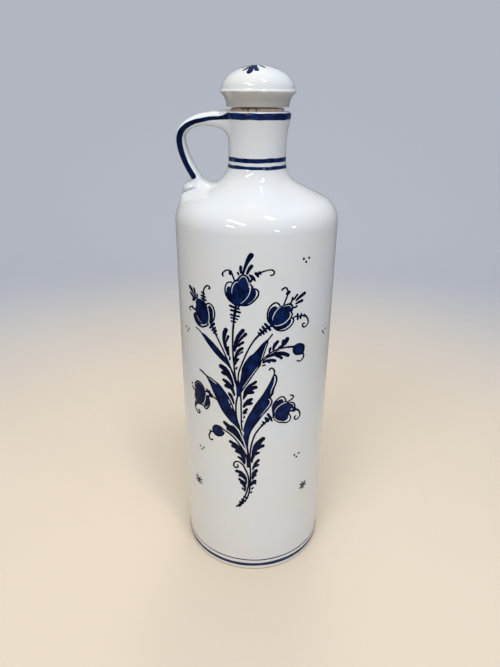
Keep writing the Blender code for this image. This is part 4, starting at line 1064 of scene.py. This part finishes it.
def draw_paths(name, paths, bleed, lift, climb):
    """Brush paths as a curve in the flat: its Z is how high the paint stands, its radius half the width.

    The listed places are where the brush's middle stood, so each end runs on by about half a width,
    and the cobalt has spread in the glaze by a tenth of the width and a fixed bleed.
    """
    curve = bpy.data.curves.new(name, "CURVE")
    curve.dimensions = "3D"
    for index, path in enumerate(paths):
        spline = curve.splines.new("POLY")
        spline.points.add(len(path) - 1)
        height = lift + climb * (index % STACK)
        places = np.array([place[:2] for place in path], float)
        widths = [place[2] * SPREAD + bleed for place in path]
        for end, inner in ((0, 1), (-1, -2)):
            away = places[end] - places[inner]
            places[end] += away / np.linalg.norm(away) * widths[end] * RUN_ON
        for point, (right, up), width in zip(spline.points, places, widths):
            point.co = (right * MM, up * MM, height * MM, 1)
            point.radius = width / 2 * MM
    drawn = bpy.data.objects.new(name, curve)
    bpy.context.scene.collection.objects.link(drawn)
    return drawn


def make_paint_tree(name, surface_sizes, lay):
    """Geometry Nodes: each path becomes a brush stroke with round ends and some depth, laid on the pot.

    lay turns flat X, Y and height into a place on the surface, from the tree's named surface sizes.
    """
    tree = bpy.data.node_groups.new(name, "GeometryNodeTree")
    sockets = {}
    kinds = {"Geometry": "Geometry", "Paths": "Object", "Spacing": "Float", "Across": "Int", "Unevenness": "Float",
             "Depth": "Float", "Paint": "Material", **dict.fromkeys(surface_sizes, "Float")}
    for title, kind in kinds.items():
        socket = tree.interface.new_socket(name=title, in_out="INPUT", socket_type="NodeSocket" + kind)
        sockets[title] = socket.identifier
    tree.interface.new_socket(name="Geometry", in_out="OUTPUT", socket_type="NodeSocketGeometry")
    given = add_node(tree, "NodeGroupInput").outputs

    def work(operation, *terms):
        """The result of one math node."""
        return add_node(tree, "ShaderNodeMath", dict(enumerate(terms)), operation=operation).outputs[0]

    paths = add_node(tree, "GeometryNodeObjectInfo", {"Object": given["Paths"]}).outputs["Geometry"]
    smooth = add_node(tree, "GeometryNodeCurveSplineType", {"Curve": paths}, spline_type="CATMULL_ROM")
    fine = add_node(tree, "GeometryNodeSetSplineResolution", {"Geometry": smooth.outputs[0], "Resolution": 12})
    even = add_node(tree, "GeometryNodeResampleCurve", {
        "Curve": fine.outputs[0], "Length": given["Spacing"]}, mode="LENGTH")
    half = add_node(tree, "GeometryNodeInputRadius").outputs[0]
    gone = add_node(tree, "GeometryNodeSplineParameter").outputs["Length"]
    whole = add_node(tree, "GeometryNodeSplineLength").outputs["Length"]
    from_end = work("MINIMUM", gone, work("SUBTRACT", whole, gone))
    near = work("MAXIMUM", work("SUBTRACT", 1.0, work("DIVIDE", from_end, half)), 0.0)
    round_end = work("SQRT", work("MAXIMUM", work("SUBTRACT", 1.0, work("MULTIPLY", near, near)), 0.01))
    noise = add_node(tree, "ShaderNodeTexNoise", {"Scale": 900, "Detail": 1.0}).outputs[0]
    uneven = work("MULTIPLY_ADD", work("SUBTRACT", noise, 0.5), given["Unevenness"], 1.0)
    width = work("MULTIPLY", work("MULTIPLY", half, round_end), uneven)
    level = add_node(tree, "GeometryNodeSetCurveNormal", {"Curve": even.outputs[0]}, mode="Z_UP")
    tip = add_node(tree, "GeometryNodeCurvePrimitiveLine", {"Start": (-1, 0, 0), "End": (1, 0, 0)})
    tip = add_node(tree, "GeometryNodeResampleCurve", {
        "Curve": tip.outputs[0], "Count": given["Across"]}, mode="COUNT")
    ribbon = add_node(tree, "GeometryNodeCurveToMesh", {
        "Curve": level.outputs[0], "Profile Curve": tip.outputs[0], "Scale": width})
    down = add_node(tree, "ShaderNodeCombineXYZ", {"Z": work("MULTIPLY", given["Depth"], -1.0)})
    thick = add_node(tree, "GeometryNodeExtrudeMesh", {
        "Mesh": ribbon.outputs[0], "Offset": down.outputs[0], "Offset Scale": 1.0, "Individual": False,
    }, mode="FACES")
    back = add_node(tree, "GeometryNodeFlipFaces", {"Mesh": ribbon.outputs[0]})
    joined = add_node(tree, "GeometryNodeJoinGeometry")
    tree.links.new(thick.outputs["Mesh"], joined.inputs[0])
    tree.links.new(back.outputs[0], joined.inputs[0])
    sewn = add_node(tree, "GeometryNodeMergeByDistance", {"Geometry": joined.outputs[0], "Distance": 1e-7})
    flat = add_node(tree, "GeometryNodeInputPosition").outputs[0]
    flat = add_node(tree, "ShaderNodeSeparateXYZ", {"Vector": flat}).outputs
    place = add_node(tree, "ShaderNodeCombineXYZ", dict(zip("XYZ", lay(work, flat, given))))
    laid = add_node(tree, "GeometryNodeSetPosition", {"Geometry": sewn.outputs[0], "Position": place.outputs[0]})
    real = add_node(tree, "GeometryNodeRealizeInstances", {"Geometry": laid.outputs[0]})
    paint = add_node(tree, "GeometryNodeSetMaterial", {"Geometry": real.outputs[0], "Material": given["Paint"]})
    add_node(tree, "NodeGroupOutput", {"Geometry": paint.outputs[0]})
    return tree, sockets


def round_cylinder(work, flat, given):
    """Wrap the flat drawing round the body, with its middle line at the front."""
    angle = work("DIVIDE", flat["X"], given["Cylinder radius"])
    radius = work("ADD", flat["Z"], given["Cylinder radius"])
    return (work("MULTIPLY", radius, work("SINE", angle)),
            work("MULTIPLY", radius, work("MULTIPLY", work("COSINE", angle), -1.0)), flat["Y"])


def over_dome(work, flat, given):
    """Drop the flat drawing straight down on the stopper's dome."""
    away = work("SQRT", work("ADD", work("MULTIPLY", flat["X"], flat["X"]), work("MULTIPLY", flat["Y"], flat["Y"])))
    share = work("DIVIDE", away, given["Dome radius"])
    rise = work("SQRT", work("SUBTRACT", 1.0, work("MULTIPLY", share, share)))
    height = work("MULTIPLY_ADD", rise, given["Dome rise"], given["Dome foot"])
    return flat["X"], flat["Y"], work("ADD", height, flat["Z"])


def paint_on(name, paths, bleed, lift, climb, paint_tree, paint, **sizes):
    """Draw the paths, run the tree on them and keep the result as a plain mesh. bleed, lift and climb are mm."""
    drawn = draw_paths(name + "_paths", paths, bleed, lift, climb)
    piece = bpy.data.objects.new(name, bpy.data.meshes.new(name))
    bpy.context.scene.collection.objects.link(piece)
    modifier = piece.modifiers.new("Strokes", "NODES")
    modifier.node_group, sockets = paint_tree
    for title, value in {"Paths": drawn, "Paint": paint, **sizes}.items():
        modifier[sockets[title]] = value
    bpy.context.view_layer.update()
    mesh = bpy.data.meshes.new_from_object(piece.evaluated_get(bpy.context.evaluated_depsgraph_get()))
    shape = bmesh.new()
    shape.from_mesh(mesh)
    bpy.data.objects.remove(piece)
    bpy.data.objects.remove(drawn)
    return show(name, shape, paint)


cylinder_paint = make_paint_tree("brush strokes round the cylinder", ["Cylinder radius"], round_cylinder)
dome_paint = make_paint_tree("brush strokes on the dome", ["Dome radius", "Dome rise", "Dome foot"], over_dome)
on_body = {"Cylinder radius": BODY_RADIUS * MM}
thin_stroke = {"Spacing": 0.35 * MM, "Across": 4, "Unevenness": 0.35, "Depth": 0.14 * MM, **on_body}
broad_stroke = {"Spacing": 0.5 * MM, "Across": 12, "Unevenness": 0.06, "Depth": 0.12 * MM, **on_body}
WASH_LEAN = math.radians(28)

line_cobalt = cobalt("cobalt strokes under glaze", "#010518", "#071238", streak=2.0, sheen=0.12)
wash_cobalt = cobalt("cobalt washes under glaze", "#020828", "#0D2659", streak=1.6, turned=WASH_LEAN, sheen=0.12)
flood_cobalt = cobalt("flooded cobalt under glaze", "#010520", "#0A1C4C", streak=1.6, turned=WASH_LEAN, sheen=0.12)
speck_cobalt = cobalt("cobalt sprinkles under glaze", "#070C26", "#162246", streak=2.0, sheen=0.12)
# the washes lie lowest, then the floods, the lines, and over them all the glaze left bare
lines = paint_on("cobalt_strokes", marks, 0.12, 0.052, 0.0006, cylinder_paint, line_cobalt, **thin_stroke)
fills = paint_on("cobalt_washes", washes, 0.3, 0.022, 0.0006, cylinder_paint, wash_cobalt, **broad_stroke)
flooded = paint_on("cobalt_floods", floods, 0.25, 0.038, 0.0008, cylinder_paint, flood_cobalt, **broad_stroke)
spared = paint_on("bare_glaze_gaps", gaps, -0.1, 0.0775, 0.0, cylinder_paint, vessel_glaze, **thin_stroke)
sprinkled = paint_on("cobalt_sprinkles", sprinkles, 0.0, 0.052, 0.0006, cylinder_paint, speck_cobalt, **thin_stroke)
for paint in (lines, fills, flooded, spared, sprinkled):
    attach(paint, "jug")

# THE STOPPER'S ROSETTE
# The same brush on the stopper's dome: three sprays of pressed petals round its top. Only the front
# one shows in the photograph. Places are mm to the right of and behind the axis, seen from above.

FRONT_SPRAY = (
    ((-1.0, -3.6, 0.5), (-1.9, -6.0, 1.4), (-2.8, -8.4, 2.1), (-3.5, -10.8, 2.5), (-4.1, -12.4, 2.4)),
    ((-0.8, -4.2, 0.5), (-1.2, -7.0, 1.2), (-1.1, -9.2, 1.6), (-0.8, -10.8, 1.9), (-0.6, -11.8, 1.9)),
    ((-1.6, -4.0, 0.5), (-3.6, -6.4, 1.2), (-5.0, -8.3, 1.6), (-6.0, -9.2, 1.2), (-7.1, -9.3, 0.8)),
    ((-1.9, -3.3, 0.4), (-4.4, -4.6, 0.7), (-6.3, -5.3, 0.9), (-7.8, -5.3, 0.7)),
    ((0.4, -4.4, 0.4), (1.4, -6.4, 0.7), (2.2, -7.6, 1.0), (3.0, -8.5, 0.8)),
)
petals = []
for turned in (0, 128, 244):
    cosine, sine = math.cos(math.radians(turned)), math.sin(math.radians(turned))
    for petal in FRONT_SPRAY:
        petals.append([(x * cosine - y * sine, x * sine + y * cosine, width) for x, y, width in petal])
dome_stroke = {"Spacing": 0.4 * MM, "Across": 8, "Unevenness": 0.1, "Depth": 0.15 * MM,
               "Dome radius": DOME_RADIUS * MM, "Dome rise": DOME_RISE * MM, "Dome foot": DOME_FOOT * MM}
dome_cobalt = cobalt("cobalt on the stopper", "#060E26", "#1A3262", streak=1.6, turned=math.radians(50), sheen=0.12)
rosette = paint_on("stopper_rosette", petals, 0.0, 0.05, 0.001, dome_paint, dome_cobalt, **dome_stroke)
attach(rosette, "stopper")

# FLOOR, LIGHT AND CAMERA
# A pale tabletop that sweeps up into a pale wall, a large soft light overhead, and small lamps
# that stand where the photograph's glints say its lamps stood.

ROOM_GREY = "#B1B6C1"

# Painted board: matt and pale, warm near the jug and cooler farther off.
board_paint = bpy.data.materials.new("pale matt board")
board_paint.use_nodes = True
tree = board_paint.node_tree
shader = tree.nodes["Principled BSDF"]
place = add_node(tree, "ShaderNodeTexCoord").outputs["Object"]
reach = add_node(tree, "ShaderNodeVectorMath", {0: place}, operation="LENGTH")
fade = add_node(tree, "ShaderNodeMapRange", {
    "Value": reach.outputs["Value"], "From Min": 0.15, "From Max": 0.65}, interpolation_type="SMOOTHSTEP")
board = add_node(tree, "ShaderNodeMix", {
    "Factor": fade.outputs["Result"], "A": linear("#DDCDB6"), "B": linear("#B7B9BE")}, data_type="RGBA")
# The glaze mirrors a darker room than the pale one looked at, as it does in the photograph.
mirrored = add_node(tree, "ShaderNodeLightPath").outputs["Is Glossy Ray"]
far = add_node(tree, "ShaderNodeMapRange", {
    "Value": reach.outputs["Value"], "From Min": 0.14, "From Max": 0.34, "To Max": 0.7,
}, interpolation_type="SMOOTHSTEP")
dimmed = add_node(tree, "ShaderNodeMath", {0: mirrored, 1: far.outputs["Result"]}, operation="MULTIPLY")
board = add_node(tree, "ShaderNodeMix", {
    "Factor": dimmed.outputs[0], "A": board.outputs["Result"], "B": linear("#000000")}, data_type="RGBA")
tree.links.new(board.outputs["Result"], shader.inputs["Base Color"])
shader.inputs["Roughness"].default_value = 0.7

# Looked at, the board fades into the room's grey at about a metre, so that its ends don't show from any side.
looked_at = add_node(tree, "ShaderNodeLightPath").outputs["Is Camera Ray"]
haze = add_node(tree, "ShaderNodeMapRange", {
    "Value": reach.outputs["Value"], "From Min": 0.55, "From Max": 1.2}, interpolation_type="SMOOTHSTEP")
haze = add_node(tree, "ShaderNodeMath", {0: looked_at, 1: haze.outputs["Result"]}, operation="MULTIPLY")
air = add_node(tree, "ShaderNodeEmission", {"Color": linear(ROOM_GREY)})
blend = add_node(tree, "ShaderNodeMixShader", {0: haze.outputs[0], 1: shader.outputs[0], 2: air.outputs[0]})
tree.links.new(blend.outputs[0], tree.nodes["Material Output"].inputs["Surface"])

# the board's profile as (y, z) in metres: flat under the jug, curved up behind it, and upright
sweep = [(-3.0, 0.0)] + arc((0.55, 0.5), 0.5, -QUARTER, 0, 16) + [(1.05, 3.0)]
shape = bmesh.new()
rows = [[shape.verts.new((x, y, z)) for x in (-3.0, 3.0)] for y, z in sweep]
for row, following in zip(rows, rows[1:]):
    shape.faces.new((row[0], row[1], following[1], following[0]))
mesh = bpy.data.meshes.new("floor_sweep")
shape.to_mesh(mesh)
shape.free()
mesh.shade_smooth()
mesh.materials.append(board_paint)
floor = bpy.data.objects.new("floor_sweep", mesh)
bpy.context.scene.collection.objects.link(floor)
floor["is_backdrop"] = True

LAMPS_FACE = Vector((0, 0, 0.22))        # the jug's shoulder


def add_lamp(name, way, along, distance, size, power, colour="#FFFFFF", mirrored=True):
    """An area lamp in a direction from LAMPS_FACE, turned to it, its long side along a vector.

    The lamps that only fill are not mirrored in the glaze, as light thrown back by a dull ceiling isn't.
    """
    lamp = bpy.data.lights.new(name, "AREA")
    lamp.shape = "RECTANGLE"
    lamp.size, lamp.size_y = size
    lamp.energy = power
    lamp.color = linear(colour)[:3]
    holder = bpy.data.objects.new(name, lamp)
    holder.visible_glossy = mirrored
    way = Vector(way).normalized()
    long_side = (Vector(along) - way * way.dot(Vector(along))).normalized()
    holder.matrix_world = Matrix((long_side, way.cross(long_side), way)).transposed().to_4x4()
    holder.location = LAMPS_FACE + way * distance
    bpy.context.scene.collection.objects.link(holder)


add_lamp("ceiling_front", (0, -0.47, 0.88), (1, 0, 0), 2.0, (1.2, 1.0), 24.0, "#EAF2FF", mirrored=False)
add_lamp("ceiling_top", (0, 0.1, 1.0), (1, 0, 0), 1.8, (1.0, 1.0), 9.0, "#FBFCFF", mirrored=False)
add_lamp("window_left", (-0.95, -0.25, 0.55), (0, 1, 0), 1.8, (1.0, 1.0), 2.0, "#FFF0DF", mirrored=False)
add_lamp("window_right", (0.95, -0.25, 0.30), (0, 1, 0), 1.8, (1.0, 1.0), 1.6, "#AFC9FF", mirrored=False)
add_lamp("tube_left", (-0.40, -0.62, 0.67), (0.62, -0.73, -0.29), 2.0, (1.0, 0.18), 8.0)
add_lamp("tube_left_low", (-0.54, -0.70, 0.42), (0.62, -0.73, -0.29), 2.0, (0.45, 0.10), 2.4)
add_lamp("tube_high", (0.23, -0.35, 0.91), (0.224, -0.29, -0.128), 2.0, (0.62, 0.18), 6.5)
add_lamp("lamp_right", (0.46, -0.87, 0.22), (0.5, -0.2, -0.4), 2.0, (0.34, 0.12), 3.0, "#F0F5FF")
add_lamp("lamp_far_right", (0.76, -0.56, 0.33), (0.5, 0.2, 0.3), 2.0, (0.22, 0.12), 2.4, "#F0F5FF")
add_lamp("lamp_behind", (0.05, 0.45, 0.89), (1, 0, 0), 2.0, (0.4, 0.2), 4.0)

world = bpy.data.worlds.new("pale room")
bpy.context.scene.world = world
world.use_nodes = True
tree = world.node_tree
place = add_node(tree, "ShaderNodeTexCoord").outputs["Generated"]
side = add_node(tree, "ShaderNodeSeparateXYZ", {"Vector": place})
side = add_node(tree, "ShaderNodeMapRange", {"Value": side.outputs["X"], "From Min": -1.0, "From Max": 1.0})
room = add_node(tree, "ShaderNodeMix", {
    "Factor": side.outputs["Result"], "A": linear("#E6E1D8"), "B": linear("#CFDCEC")}, data_type="RGBA")
# The room lights the jug only faintly, but it is looked at as a pale wall all round.
looked_at = add_node(tree, "ShaderNodeLightPath").outputs["Is Camera Ray"]
room = add_node(tree, "ShaderNodeMix", {
    "Factor": looked_at, "A": room.outputs["Result"], "B": linear(ROOM_GREY)}, data_type="RGBA")
tree.links.new(room.outputs["Result"], tree.nodes["Background"].inputs["Color"])
strength = add_node(tree, "ShaderNodeMath", {0: looked_at, 1: 0.88, 2: 0.12}, operation="MULTIPLY_ADD")
tree.links.new(strength.outputs[0], tree.nodes["Background"].inputs["Strength"])

# The photograph's camera, worked out from the ellipses of the bands and the foot.
FOCAL_PIXELS, LONG_SIDE, SENSOR = 530.0, 667.0, 36.0
pitch, yaw, roll = math.radians(24.046), math.radians(-0.602), math.radians(0.449)
ahead = Vector((math.sin(yaw) * math.cos(pitch), math.cos(yaw) * math.cos(pitch), -math.sin(pitch)))
right = Vector((math.cos(yaw), -math.sin(yaw), 0))
up = right.cross(ahead)
across = right * math.cos(roll) + up * math.sin(roll)
upward = up * math.cos(roll) - right * math.sin(roll)
lens = bpy.data.cameras.new("photo_camera")
lens.sensor_fit = "AUTO"
lens.sensor_width = SENSOR
lens.lens = FOCAL_PIXELS * SENSOR / LONG_SIDE
lens.clip_start = 0.01
camera = bpy.data.objects.new("photo_camera", lens)
camera.matrix_world = Matrix((across, upward, -ahead)).transposed().to_4x4()
camera.location = (0, -0.28019, 0.26446)
bpy.context.scene.collection.objects.link(camera)
bpy.context.scene.camera = camera
bpy.context.scene.view_settings.view_transform = "Standard"

low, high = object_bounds()
